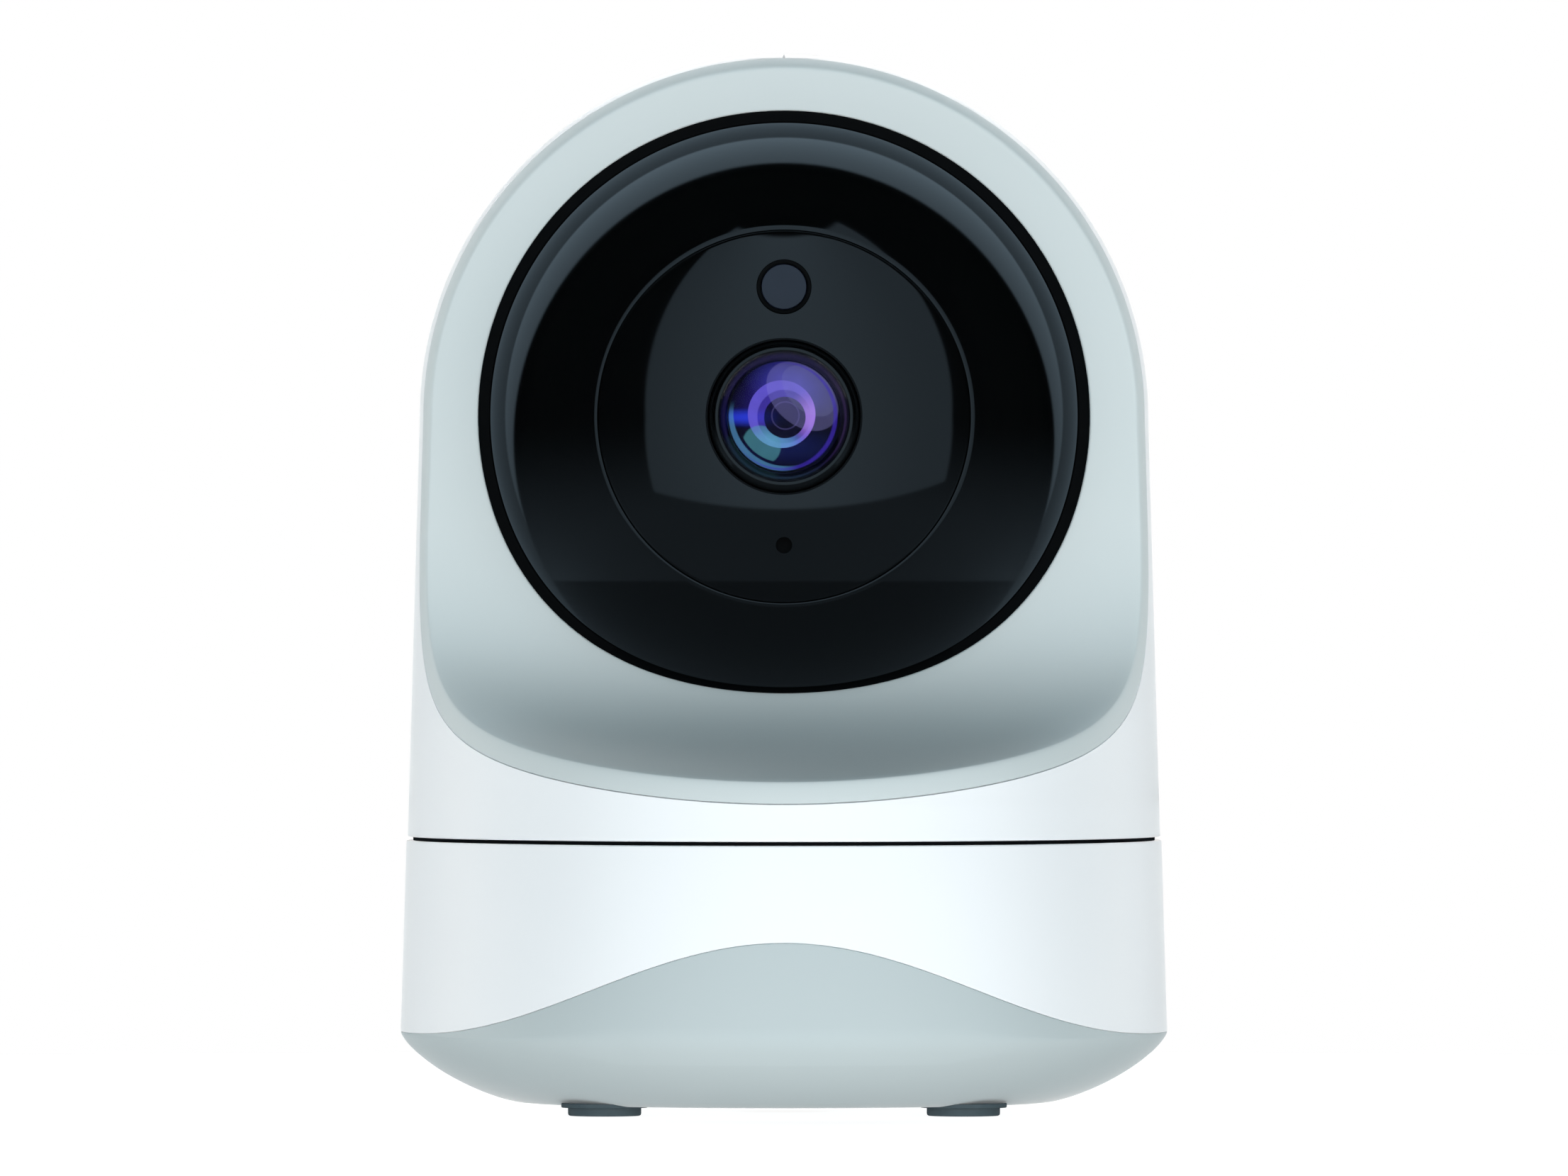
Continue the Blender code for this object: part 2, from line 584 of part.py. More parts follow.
def build_face(mats, head):
    edge = math.asin(FACE_RADIUS / BALL_RADIUS)
    inner_radius = BALL_RADIUS - WALL
    hole = math.asin(LENS_HOLE_RADIUS / BALL_RADIUS)
    inner_hole = math.asin(LENS_HOLE_RADIUS / inner_radius)
    inner_edge = math.asin(FACE_RADIUS / inner_radius)
    section = arc(BALL_RADIUS, hole, edge, 3) + arc(inner_radius, inner_edge, inner_hole, 2)
    face = turned("face_plate", section, mats["black"], head, FRONT, segments=BALL_SEGMENTS)
    cut(face, rod("tool_window_hole", 2.85, 20, 35, None, head, FRONT, (0, 0, WINDOW_OFFSET)))
    cut(face, rod("tool_microphone_hole", 0.9, 20, 35, None, head, FRONT,
                  (0, 0, MICROPHONE_OFFSET), 12))
    rod("infrared_window", WINDOW_RADIUS, 24.8, 26.6, mats["window"], head, FRONT,
        (0, 0, WINDOW_OFFSET))
    ring("led_board", 8.3, 16.2, 22.0, 23.0, mats["board"], head, FRONT, segments=32)
    rod("infrared_led", 1.5, 23.3, 24.4, mats["window"], head, FRONT, (0, 0, WINDOW_OFFSET), 12)
    rod("microphone", 2.0, 23.3, 24.2, mats["steel"], head, FRONT, (0, 0, MICROPHONE_OFFSET),
        12)


def build_optics(mats, head):
    ring_section = [(6.3, 27.3), (LENS_RING_RADIUS, 27.3), (LENS_RING_RADIUS, 30.8),
                    (7.3, 31.1), (6.7, 31.1), (6.3, 30.6)]
    turned("lens_ring", ring_section, mats["black"], head, FRONT, segments=28)
    dome_radius = 13.0
    reach = math.asin(LENS_RADIUS / dome_radius)
    dome = [(r, h - dome_radius + 30.9) for r, h in arc(dome_radius, reach, 0, 3)]
    turned("front_lens", [(0, 28.2), (LENS_RADIUS, 28.2)] + dome, mats["glass"], head, FRONT,
           segments=28)
    ring("lens_barrel", 4.8, 6.0, 14.0, 27.9, mats["dark"], head, FRONT, segments=24)
    rod("rear_lens", 4.5, 15.0, 17.5, mats["glass"], head, FRONT, segments=24)
    holder = box("lens_holder", (-8, 8), (-17, -9), (-8, 8), mats["dark"], head)
    cut(holder, rod("tool_holder_bore", 6.3, 12.9, 18, None, head, FRONT, segments=24))
    cut(holder, rod("tool_holder_aperture", 3.5, 12, 14, None, head, FRONT))
    cut(holder, box("tool_filter_slot", (-9, 9), (-12.5, -10.9), (-4.3, 4.3), None, head))
    cut(holder, box("tool_sensor_window", (-4, 4), (-11.2, -8), (-3.2, 3.2), None, head))
    box("sensor_board", (-10, 10), (-8.6, -7.2), (-10, 10), mats["board"], head)
    box("image_sensor", (-2.8, 2.8), (-9.8, -8.9), (-2.1, 2.1), mats["window"], head)


def build_filter(mats, body):
    """Infrared filter on a slider: the solid end is in front of the sensor at rest."""
    slider = box("infrared_filter", (-7.4, 3.6), (-12.1, -11.3), (-3.9, 3.9), mats["window"],
                 body)
    cut(slider, rod("tool_filter_hole", 2.6, 10, 14, None, body, FRONT, (-4.4, 0, 0), 16))


def build_tilt_motor(mats, head):
    motor_at = (0, TILT_CENTRES, 0)
    motor = rod("tilt_motor", 10.0, 2.0, 18.0, mats["steel"], head, RIGHT, motor_at, 28)
    cut(motor, rod("tool_tilt_bearing", 1.4, 14.0, 19.0, None, head, RIGHT, motor_at, 12))


def build_tilt_pinion(mats, body):
    """Modelled about its own axis; it rolls on the fixed tilt gear as the head tilts."""
    pinion = extruded("tilt_pinion", toothed(PINION_TEETH, math.pi / PINION_TEETH), 20.8, 24.0,
                      mats["brass"], body, RIGHT)
    unite(pinion, rod("tool_tilt_pinion_shaft", 1.0, 15.0, 21.5, None, body, RIGHT,
                      segments=12))


# ---- assembly ---------------------------------------------------------------------------
def joint(name, location, parent=None):
    """Empty on a joint's axis, in millimetres from its parent."""
    empty = bpy.data.objects.new(name, None)
    empty.location = Vector(location) * MM
    empty.parent = parent
    bpy.context.scene.collection.objects.link(empty)
    return empty


def main():
    clear_scene()
    mats = make_materials()
    root = joint("base", (0, 0, 0))
    build_base(mats, root)
    build_reset_button(mats, joint("reset_slide", (0, 0, 0), root))
    build_pan_pinion(mats, joint("pan_pinion_axis", (0, PAN_CENTRES, 0), root))

    turret = joint("pan_axis", (0, 0, 0), root)
    build_hood(mats, turret)
    build_bezel(mats, turret)
    build_gasket(mats, turret)
    build_turntable(mats, turret)
    build_arms(mats, turret)
    build_turret_electronics(mats, turret)

    head = joint("tilt_axis", (0, 0, BALL_HEIGHT), turret)
    build_ball(mats, head)
    build_face(mats, head)
    build_optics(mats, head)
    build_filter(mats, joint("filter_slide", (0, 0, 0), head))
    build_tilt_motor(mats, head)
    build_tilt_pinion(mats, joint("tilt_pinion_axis", (0, TILT_CENTRES, 0), head))


main()
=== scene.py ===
"""Looks of the indoor security camera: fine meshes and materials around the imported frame.

Lengths are in millimetres until a mesh is made.  The lens looks towards -Y.  Profiles of the
head are (radius, forward) about the lens axis, all others are (radius, height).
"""
import json
import math

import bmesh
import bpy
import numpy as np
from mathutils import Matrix, Vector

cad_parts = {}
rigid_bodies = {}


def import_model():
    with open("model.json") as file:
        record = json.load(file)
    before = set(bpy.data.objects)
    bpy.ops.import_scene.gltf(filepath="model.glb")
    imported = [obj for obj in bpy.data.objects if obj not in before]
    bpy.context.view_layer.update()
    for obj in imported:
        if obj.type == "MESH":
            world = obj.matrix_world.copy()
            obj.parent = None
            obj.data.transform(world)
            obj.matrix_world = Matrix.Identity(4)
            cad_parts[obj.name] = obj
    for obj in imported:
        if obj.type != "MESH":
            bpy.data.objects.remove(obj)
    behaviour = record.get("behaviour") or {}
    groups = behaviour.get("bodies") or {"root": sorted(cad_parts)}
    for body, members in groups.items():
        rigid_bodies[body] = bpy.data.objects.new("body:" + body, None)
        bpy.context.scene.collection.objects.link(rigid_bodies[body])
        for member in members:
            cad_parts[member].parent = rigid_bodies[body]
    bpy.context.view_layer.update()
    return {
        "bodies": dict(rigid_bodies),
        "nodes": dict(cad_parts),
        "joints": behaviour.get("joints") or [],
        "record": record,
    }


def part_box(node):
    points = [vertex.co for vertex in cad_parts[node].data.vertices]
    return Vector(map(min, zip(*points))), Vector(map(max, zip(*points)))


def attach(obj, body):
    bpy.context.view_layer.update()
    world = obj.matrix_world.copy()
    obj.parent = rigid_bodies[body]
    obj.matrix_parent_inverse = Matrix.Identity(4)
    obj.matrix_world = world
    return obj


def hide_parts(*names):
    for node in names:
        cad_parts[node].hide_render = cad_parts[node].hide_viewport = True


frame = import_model()

MM = 0.001


def node_box(node):
    low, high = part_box(node)
    return low / MM, high / MM


# ---- sizes taken from the frame ---------------------------------------------------------
JOINTS = {joint["name"]: joint for joint in frame["joints"]}
BALL_HEIGHT = JOINTS["tilt"]["pos_m"][2] / MM
BALL_RADIUS = node_box("ball_front_shell")[1].z - BALL_HEIGHT
HOOD_LOW, HOOD_HIGH = node_box("hood_shell")
HOUSING_LOW, HOUSING_HIGH = node_box("base_housing")
FACE_RADIUS = node_box("face_plate")[1].x
INSERT_HIGH = node_box("tripod_insert")[1]
FEET = {side: node_box("foot_" + side) for side in
        ("front_left", "front_right", "rear_left", "rear_right")}

BASE_RADIUS = HOUSING_HIGH.x
BASE_TOP = HOUSING_HIGH.z
WAIST = HOUSING_LOW.z - 0.3              # the housing stands a gap above the bowl's edge
BASE_DRAFT = 0.6                         # the side narrows by this much up to the top
HOOD_BOTTOM = HOOD_LOW.z
HOOD_BOTTOM_RADIUS = HOOD_HIGH.y
HOOD_RADIUS = HOOD_BOTTOM_RADIUS - 1.25  # at the height of the ball's centre
DOME_RISE = HOOD_HIGH.z - BALL_HEIGHT
WALL = 2.0

FLAT_RADIUS = 27.5                       # flat underside of the tray
FLOOR_HEIGHT = node_box("base_tray")[0].z
BOWL_POWER = 1.4
WAVE_HEIGHT = 9.95                       # the tray's edge rises by this in front and behind
WAVE_POWER = 4.8

OPENING_RADIUS = BALL_RADIUS + 1.7
BEZEL_THICKNESS = 2.0
BEZEL_FORWARD = 5.8                      # the bezel's back, in front of the ball's centre
SCOOP_START = -10.0                      # the bezel's back is upright down to here
SCOOP_END = (39.4, -39.95)               # (forward, up) of the scoop's tip
SCOOP_DROP = 23.0                        # reach of the curve's handle at its start
SCOOP_RUN = 16.0                         # and at its end
SCOOP_SLOPE = 0.33
PARTING = 0.12                           # dark line between the bezel and the hood
SEAM = 0.12                              # between the ball and its face
MICROPHONE_RADIUS = 0.85                 # holes in the face
WINDOW_RADIUS = 2.85
LENS_HOLE_RADIUS = 7.95
LENS_BORE_RADIUS = 5.85
CARD_ANGLE = math.radians(75)            # the card slot lies this far below the lens axis

FRONT_LIGHT = 3.75                       # studio light from each direction
BACK_LIGHT = 7.6                         # a ring behind the camera body
BACK_CORE_LIGHT = 0.15                   # inside that ring
TOP_LIGHT = 0.05
FLOOR_LIGHT = 0.72
LIGHT_TURN = math.radians(6)             # the front light stands this far to the right

UP = Matrix.Identity(4)
FRONT = Matrix.Rotation(math.radians(90), 4, "X")
HEAD = Matrix.Translation((0, 0, BALL_HEIGHT)) @ FRONT


# ---- mesh helpers -----------------------------------------------------------------------
def make_piece(name, bm, material, body, replaced=(), sharp=40):
    """Turn a bmesh in millimetres into a piece that rides on a body of the frame."""
    bmesh.ops.remove_doubles(bm, verts=bm.verts, dist=1e-5)
    bmesh.ops.recalc_face_normals(bm, faces=bm.faces)
    bmesh.ops.scale(bm, vec=(MM, MM, MM), verts=bm.verts)
    mesh = bpy.data.meshes.new(name)
    bm.to_mesh(mesh)
    bm.free()
    mesh.shade_smooth()
    mesh.set_sharp_from_angle(angle=math.radians(sharp))
    mesh.materials.append(material)
    piece = bpy.data.objects.new(name, mesh)
    bpy.context.scene.collection.objects.link(piece)
    if body:
        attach(piece, body)
    if replaced:
        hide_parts(*replaced)
    return piece


def add_grid(bm, rows, wrap_rows=False, wrap_columns=True, place=UP):
    """Quads between neighbouring points of an array (rows, columns, 3)."""
    grid = [[bm.verts.new(place @ Vector(point)) for point in row] for row in rows]
    row_count, column_count = len(grid), len(grid[0])
    for i in range(row_count if wrap_rows else row_count - 1):
        near, far = grid[i], grid[(i + 1) % row_count]
        for j in range(column_count if wrap_columns else column_count - 1):
            k = (j + 1) % column_count
            bm.faces.new((near[j], near[k], far[k], far[j]))
    return grid


def lathe_rows(profile, segments):
    """Rows of points for each (radius, height) of a profile, turned about the axis."""
    angles = np.arange(segments) * 2 * math.pi / segments
    return [[(r * math.cos(a), r * math.sin(a), h) for a in angles] for r, h in profile]


def add_lathe(bm, profile, segments=128, place=UP):
    """Turn a profile: from axis to axis, or a closed loop beside the axis."""
    solid = profile[0][0] < 1e-9 and profile[-1][0] < 1e-9
    rows = lathe_rows(profile, segments)
    add_grid(bm, rows, wrap_rows=not solid, place=place)


def lathe(name, profile, material, body, replaced=(), segments=128, place=UP):
    bm = bmesh.new()
    add_lathe(bm, profile, segments, place)
    return make_piece(name, bm, material, body, replaced)


def add_prism(bm, outline, low, high, place=FRONT):
    """Solid between two copies of an outline, at two heights along the place's own z."""
    rows = [[(x, y, z) for x, y in outline] for z in (low, high)]
    for row in add_grid(bm, rows, place=place):
        bm.faces.new(row)


def rounded(corners, closed=False, steps=5):
    """Polyline through (x, y, radius) corners, each rounded by its radius."""
    points = []
    count = len(corners)
    for i, (x, y, radius) in enumerate(corners):
        here = Vector((x, y))
        if radius == 0 or (not closed and i in (0, count - 1)):
            points.append((x, y))
            continue
        before = Vector(corners[i - 1][:2]) - here
        after = Vector(corners[(i + 1) % count][:2]) - here
        reach = min(radius, 0.49 * before.length, 0.49 * after.length)
        start, end = here + before.normalized() * reach, here + after.normalized() * reach
        for k in range(steps + 1):
            t = k / steps
            point = start * (1 - t) ** 2 + here * 2 * t * (1 - t) + end * t ** 2
            points.append((point.x, point.y))
    return points


def arc(radius, start, end, steps):
    """(radius, forward) points on a sphere, by the angle from the axis in degrees."""
    angles = np.radians(np.linspace(start, end, steps + 1))
    return [(radius * math.sin(a), radius * math.cos(a)) for a in angles]


def degrees_at(radius, sphere):
    """Angle from the axis at which a sphere has this radius about the axis."""
    return math.degrees(math.asin(radius / sphere))


def rounded_box(x, y, half_width, half_height, radius):
    """Closed outline of a rectangle with rounded corners about a centre."""
    return rounded([(x - half_width, y - half_height, radius),
                    (x + half_width, y - half_height, radius),
                    (x + half_width, y + half_height, radius),
                    (x - half_width, y + half_height, radius)], closed=True)


def last_before(low, high, reached):
    """Largest value between two limits at which reached(value) is not yet true."""
    for _ in range(50):
        middle = (low + high) / 2
        low, high = (low, middle) if reached(middle) else (middle, high)
    return low


def cut_with(piece, fill):
    """Boolean difference with the solids that fill(bm) makes, applied at once."""
    bm = bmesh.new()
    fill(bm)
    bmesh.ops.recalc_face_normals(bm, faces=bm.faces)
    bmesh.ops.scale(bm, vec=(MM, MM, MM), verts=bm.verts)
    mesh = bpy.data.meshes.new("cutter")
    bm.to_mesh(mesh)
    bm.free()
    tool = bpy.data.objects.new("cutter", mesh)
    bpy.context.scene.collection.objects.link(tool)
    modifier = piece.modifiers.new("cutter", "BOOLEAN")
    modifier.object = tool
    modifier.solver = "EXACT"
    bpy.context.view_layer.update()
    graph = bpy.context.evaluated_depsgraph_get()
    result = bpy.data.meshes.new_from_object(piece.evaluated_get(graph))
    piece.modifiers.remove(modifier)
    piece.data = result
    result.set_sharp_from_angle(angle=math.radians(30))
    bpy.data.objects.remove(tool)


# ---- shapes of the shells ---------------------------------------------------------------
def side_radius(height):
    """Outer radius of the base above its waist."""
    return BASE_RADIUS - BASE_DRAFT * (height - WAIST) / (BASE_TOP - WAIST)


def bowl_point(share):
    """(radius, height) on the tray's underside, from the flat (0) to the waist (1)."""
    angle = share * math.pi / 2
    return (FLAT_RADIUS + (BASE_RADIUS - FLAT_RADIUS) * math.sin(angle) ** (2 / BOWL_POWER),
            WAIST - (WAIST - FLOOR_HEIGHT) * math.cos(angle) ** (2 / BOWL_POWER))


def wave(angle):
    """Height of the line between tray and housing, by the angle about the pan axis."""
    return WAIST + WAVE_HEIGHT * abs(math.sin(angle)) ** WAVE_POWER


def hood_radius(up, inset=0.0):
    """Outer radius of the hood at a height measured from the ball's centre."""
    if up <= 0:
        share = -up / (BALL_HEIGHT - HOOD_BOTTOM)
        return HOOD_RADIUS - inset + (HOOD_BOTTOM_RADIUS - HOOD_RADIUS) * share
    rise = DOME_RISE - inset
    return (HOOD_RADIUS - inset) * math.sqrt(max(0.0, 1 - (up / rise) ** 2))


def cubic(p0, p1, p2, p3, steps):
    """Points of a Bezier curve, without its last one."""
    t = np.linspace(0, 1, steps, endpoint=False)[:, None]
    p0, p1, p2, p3 = (np.array(p, float) for p in (p0, p1, p2, p3))
    return ((1 - t) ** 3 * p0 + 3 * t * (1 - t) ** 2 * p1
            + 3 * t * t * (1 - t) * p2 + t ** 3 * p3)


class BezelLine:
    """Side view of the bezel's back, (forward, up) from the ball's centre, by length."""

    def __init__(self):
        beyond = 12                      # the line goes on past the tip by this much
        crest = (BEZEL_FORWARD, DOME_RISE + 3)
        start = (BEZEL_FORWARD, SCOOP_START)
        upper = np.linspace(crest, start, 120, endpoint=False)
        drop = (BEZEL_FORWARD, SCOOP_START - SCOOP_DROP)
        run = (SCOOP_END[0] - SCOOP_RUN, SCOOP_END[1] + SCOOP_RUN * SCOOP_SLOPE)
        lower = cubic(start, drop, run, SCOOP_END, 200)
        tail = [SCOOP_END, (SCOOP_END[0] + beyond, SCOOP_END[1] - beyond * SCOOP_SLOPE)]
        self.points = np.vstack([upper, lower, tail])
        steps = np.linalg.norm(np.diff(self.points, axis=0), axis=1)
        self.length = np.concatenate([[0], np.cumsum(steps)])
        self.length -= np.interp(0, -self.points[:, 1], self.length)
        along = np.gradient(self.points, self.length, axis=0)
        normals = np.stack([-along[:, 1], along[:, 0]], axis=1)
        self.normals = normals / np.linalg.norm(normals, axis=1)[:, None]

    def at(self, down, offset):
        """Points at lengths below the ball's centre, moved forward by the offset."""
        point = [np.interp(down, self.length, self.points[:, k]) for k in (0, 1)]
        normal = [np.interp(down, self.length, self.normals[:, k]) for k in (0, 1)]
        return point[0] + offset * normal[0], point[1] + offset * normal[1]


LINE = BezelLine()


def surface_point(across, down, offset):
    """Point of the bezel's surface, by the lengths across and down from the ball's centre."""
    forward, up = LINE.at(down, offset)
    return (across, -forward, BALL_HEIGHT + up)


def edge_reach(angle, offset, outside):
    """Distance along a ray of the bezel's surface where outside(across, forward, up) starts."""
    def reached(reach):
        return outside(reach * math.sin(angle), *LINE.at(-reach * math.cos(angle), offset))
    return last_before(5.0, 75.0, reached)


def beyond_hood(x, forward, up):
    return up > DOME_RISE or x * x + forward * forward > hood_radius(up) ** 2


def beyond_ball(radius):
    return lambda x, f, up: x * x + f * f + up * up > radius * radius


COLUMNS = 256
RAYS = [2 * math.pi * k / COLUMNS for k in range(COLUMNS)]


def ring_at(offset, reaches):
    """Points at these distances along the rays, on the bezel's surface moved by the offset."""
    return [surface_point(reach * math.sin(a), -reach * math.cos(a), offset)
            for a, reach in zip(RAYS, reaches)]


def reaches_of(offset, outside):
    return [edge_reach(a, offset, outside) for a in RAYS]


# ---- materials --------------------------------------------------------------------------
def linear(channel):
    channel = channel / 255
    return channel / 12.92 if channel <= 0.04045 else ((channel + 0.055) / 1.055) ** 2.4


def colour_of(rgb):
    return (*[linear(c) for c in rgb], 1.0)


class Nodes:
    """Short ways to add nodes to a tree."""

    def __init__(self, tree):
        self.tree = tree

    def add(self, kind, **values):
        node = self.tree.nodes.new(kind)
        for key, value in values.items():
            setattr(node, key, value)
        return node

    def link(self, source, target):
        if isinstance(source, bpy.types.NodeSocket):
            self.tree.links.new(source, target)
        else:
            target.default_value = source

    def math(self, operation, *values):
        node = self.add("ShaderNodeMath", operation=operation)
        for value, socket in zip(values, node.inputs):
            self.link(value, socket)
        return node.outputs[0]

    def ramp(self, value, low, high, at_low=0.0, at_high=1.0):
        """Smooth step of the value from at_low to at_high."""
        node = self.add("ShaderNodeMapRange", interpolation_type="SMOOTHSTEP")
        for number, socket in zip((value, low, high, at_low, at_high), node.inputs):
            self.link(number, socket)
        return node.outputs[0]

    def blend(self, share, first, second):
        """Mix of two numbers."""
        node = self.add("ShaderNodeMix", data_type="FLOAT")
        for value, socket in zip((share, first, second), (node.inputs[0], *node.inputs[2:4])):
            self.link(value, socket)
        return node.outputs[0]

    def tint(self, share, first, second):
        """Mix of two colours."""
        node = self.add("ShaderNodeMix", data_type="RGBA")
        for value, socket in zip((share, first, second), (node.inputs[0], *node.inputs[6:8])):
            self.link(value, socket)
        return node.outputs[2]


class Material(Nodes):
    """A Principled material whose colour, roughness and relief vary by procedural noise."""

    def __init__(self, name, rgb, roughness, metallic=0.0, **constants):
        self.material = bpy.data.materials.new(name)
        self.material.use_nodes = True
        super().__init__(self.material.node_tree)
        self.shader = self.tree.nodes["Principled BSDF"]
        self.rgb = rgb
        self.roughness = roughness
        self.shader.inputs["Base Color"].default_value = colour_of(rgb)
        self.shader.inputs["Roughness"].default_value = roughness
        self.shader.inputs["Metallic"].default_value = metallic
        for socket, value in constants.items():
            self.shader.inputs[socket.replace("_", " ")].default_value = value
        self.coordinates = self.add("ShaderNodeTexCoord").outputs["Object"]

    def noise(self, scale, detail=3.0, stretch=(1, 1, 1)):
        mapping = self.add("ShaderNodeMapping")
        mapping.inputs["Scale"].default_value = stretch
        noise = self.add("ShaderNodeTexNoise")
        noise.inputs["Scale"].default_value = scale
        noise.inputs["Detail"].default_value = detail
        self.link(self.coordinates, mapping.inputs["Vector"])
        self.link(mapping.outputs["Vector"], noise.inputs["Vector"])
        return noise.outputs["Fac"]

    def vary_colour(self, scale, other, stretch=(1, 1, 1)):
        mixed = self.tint(self.noise(scale, stretch=stretch), colour_of(self.rgb),
                          colour_of(other))
        self.link(mixed, self.shader.inputs["Base Color"])
        return self

    def vary_roughness(self, scale, spread, stretch=(1, 1, 1)):
        spans = self.add("ShaderNodeMapRange")
        spans.inputs["From Min"].default_value = 0.3
        spans.inputs["From Max"].default_value = 0.7
        spans.inputs["To Min"].default_value = self.roughness - spread
        spans.inputs["To Max"].default_value = self.roughness + spread
        self.link(self.noise(scale, stretch=stretch), spans.inputs["Value"])
        self.link(spans.outputs["Result"], self.shader.inputs["Roughness"])
        return self

    def relief(self, scale, strength, depth=0.02, stretch=(1, 1, 1)):
        bump = self.add("ShaderNodeBump")
        bump.inputs["Strength"].default_value = strength
        bump.inputs["Distance"].default_value = depth * MM
        self.link(self.noise(scale, detail=2.0, stretch=stretch), bump.inputs["Height"])
        self.link(bump.outputs["Normal"], self.shader.inputs["Normal"])
        return self


def make_materials():
    white = Material("white_satin", (244, 247, 249), 0.34, Coat_Weight=0.15,
                     Coat_Roughness=0.2, Sheen_Weight=1.0, Sheen_Roughness=0.25,
                     Specular_IOR_Level=0.3)
    white.vary_colour(60, (240, 244, 247)).vary_roughness(220, 0.03).relief(5200, 0.06)
    grey = Material("grey_satin", (205, 214, 215), 0.4, Coat_Weight=0.1, Coat_Roughness=0.25,
                    Sheen_Weight=0.7, Sheen_Roughness=0.25, Specular_IOR_Level=0.3)
    grey.vary_colour(60, (201, 211, 212)).vary_roughness(220, 0.03).relief(5200, 0.08)
    # painted shade: the bezel's grey plastic again, its colour made darker for the tray
    tray = Material("grey_satin_painted_shade", (191, 202, 204), 0.42, Coat_Weight=0.1, Coat_Roughness=0.25,
                    Sheen_Weight=0.5, Sheen_Roughness=0.25, Specular_IOR_Level=0.3)
    tray.vary_colour(60, (187, 199, 201)).vary_roughness(220, 0.03).relief(5200, 0.08)
    black = Material("black_gloss", (5, 6, 7), 0.06, IOR=1.5)
    black.vary_colour(40, (6, 7, 8)).vary_roughness(90, 0.012)
    gasket = Material("gasket_black", (6, 7, 8), 0.8, Specular_IOR_Level=0.1)
    gasket.vary_colour(300, (4, 5, 6)).vary_roughness(900, 0.05).relief(4000, 0.15)
    dark = Material("dark_satin", (26, 28, 30), 0.48)
    dark.vary_colour(200, (21, 23, 25)).vary_roughness(600, 0.05).relief(4500, 0.15)
    window = Material("infrared_glass", (24, 29, 42), 0.05)
    window.vary_colour(500, (20, 24, 36)).vary_roughness(400, 0.015)
    rubber = Material("rubber_grey", (64, 80, 86), 0.75)
    rubber.vary_colour(900, (55, 70, 76)).vary_roughness(1500, 0.05).relief(3000, 0.3, 0.04)
    nylon = Material("nylon", (226, 222, 208), 0.5, Subsurface_Weight=0.1)
    nylon.vary_colour(400, (216, 211, 196)).vary_roughness(900, 0.05).relief(3500, 0.1)
    steel = Material("steel", (170, 172, 174), 0.32, 1.0)
    steel.vary_colour(700, (150, 153, 156), (1, 1, 14)).vary_roughness(
        900, 0.06, (1, 1, 14)).relief(2500, 0.08, 0.01, (1, 1, 14))
    brass = Material("brass", (206, 172, 100), 0.3, 1.0)
    brass.vary_colour(700, (188, 152, 84)).vary_roughness(900, 0.06).relief(2500, 0.06, 0.01)
    board = Material("circuit_board", (24, 82, 54), 0.4)
    board.vary_colour(1800, (14, 58, 38), (1, 6, 1)).vary_roughness(700, 0.06).relief(
        1500, 0.3, 0.03, (1, 6, 1))
    chip = Material("chip_epoxy", (30, 30, 32), 0.55)
    chip.vary_colour(1500, (24, 24, 26)).vary_roughness(1500, 0.05).relief(5000, 0.2)
    glass = Material("lens_glass", (255, 255, 255), 0.02, Transmission_Weight=1.0, IOR=1.12)
    glass.vary_roughness(200, 0.005)
    return {
        "white_plastic": white.material, "grey_plastic": grey.material,
        "grey_plastic_painted_shade": tray.material,
        "black_gloss": black.material, "dark_plastic": dark.material,
        "gasket": gasket.material, "infrared_window": window.material,
        "foot_rubber": rubber.material, "gear_nylon": nylon.material,
        "steel": steel.material, "brass": brass.material,
        "circuit_board": board.material, "chip_black": chip.material,
        "lens_glass": glass.material,
    }


MATS = make_materials()


def dress_frame():
    """Give every CAD node the material of its slot."""
    for part in frame["record"]["subparts"]:
        node = frame["nodes"][part["node"]]
        node.data.materials.clear()
        node.data.materials.append(MATS[part["material_slot"]])


# ---- turret -----------------------------------------------------------------------------
def build_bezel():
    """Grey front plate: ruled scoop, rolled outer lip, sphere-cut opening."""
    lips = [0.65 + 0.2 * math.cos(angle) for angle in RAYS]      # widest at the top
    fillet = 0.35                                                # round the opening
    front = BEZEL_THICKNESS
    inner_back = reaches_of(0, beyond_ball(OPENING_RADIUS))
    inner_front = reaches_of(front, beyond_ball(OPENING_RADIUS))
    inner_low = reaches_of(front - fillet, beyond_ball(OPENING_RADIUS))
    outer_back = reaches_of(0, beyond_hood)
    outer_front = reaches_of(front, beyond_hood)
    rows = [ring_at(0, inner_back), ring_at(front - fillet, inner_low)]
    low, corner = np.array(rows[-1]), np.array(ring_at(front, inner_front))
    flat = np.array(ring_at(front, [r + fillet for r in inner_front]))
    for t in (0.25, 0.5, 0.75):
        rows.append(low * (1 - t) ** 2 + corner * 2 * t * (1 - t) + flat * t * t)
    crease = [r - lip for r, lip in zip(outer_front, lips)]
    for share in np.linspace(0, 1, 22):
        reaches = [(a + fillet) * (1 - share) + b * share for a, b in zip(inner_front, crease)]
        rows.append(ring_at(front, reaches))
    start, corner = np.array(rows[-1]), np.array(ring_at(front, outer_front))
    end = np.array(ring_at(0, outer_back))
    for angle in np.radians(np.linspace(0, 90, 11)[1:]):
        rows.append(corner + (start - corner) * (1 - math.sin(angle))
                    + (end - corner) * (1 - math.cos(angle)))
    for share in np.linspace(0, 1, 10)[1:-1]:
        reaches = [b * (1 - share) + a * share for a, b in zip(inner_back, outer_back)]
        rows.append(ring_at(0, reaches))
    bm = bmesh.new()
    add_grid(bm, rows, wrap_rows=True)
    make_piece("bezel", bm, MATS["grey_plastic"], "turret", ["front_bezel"],
               60)


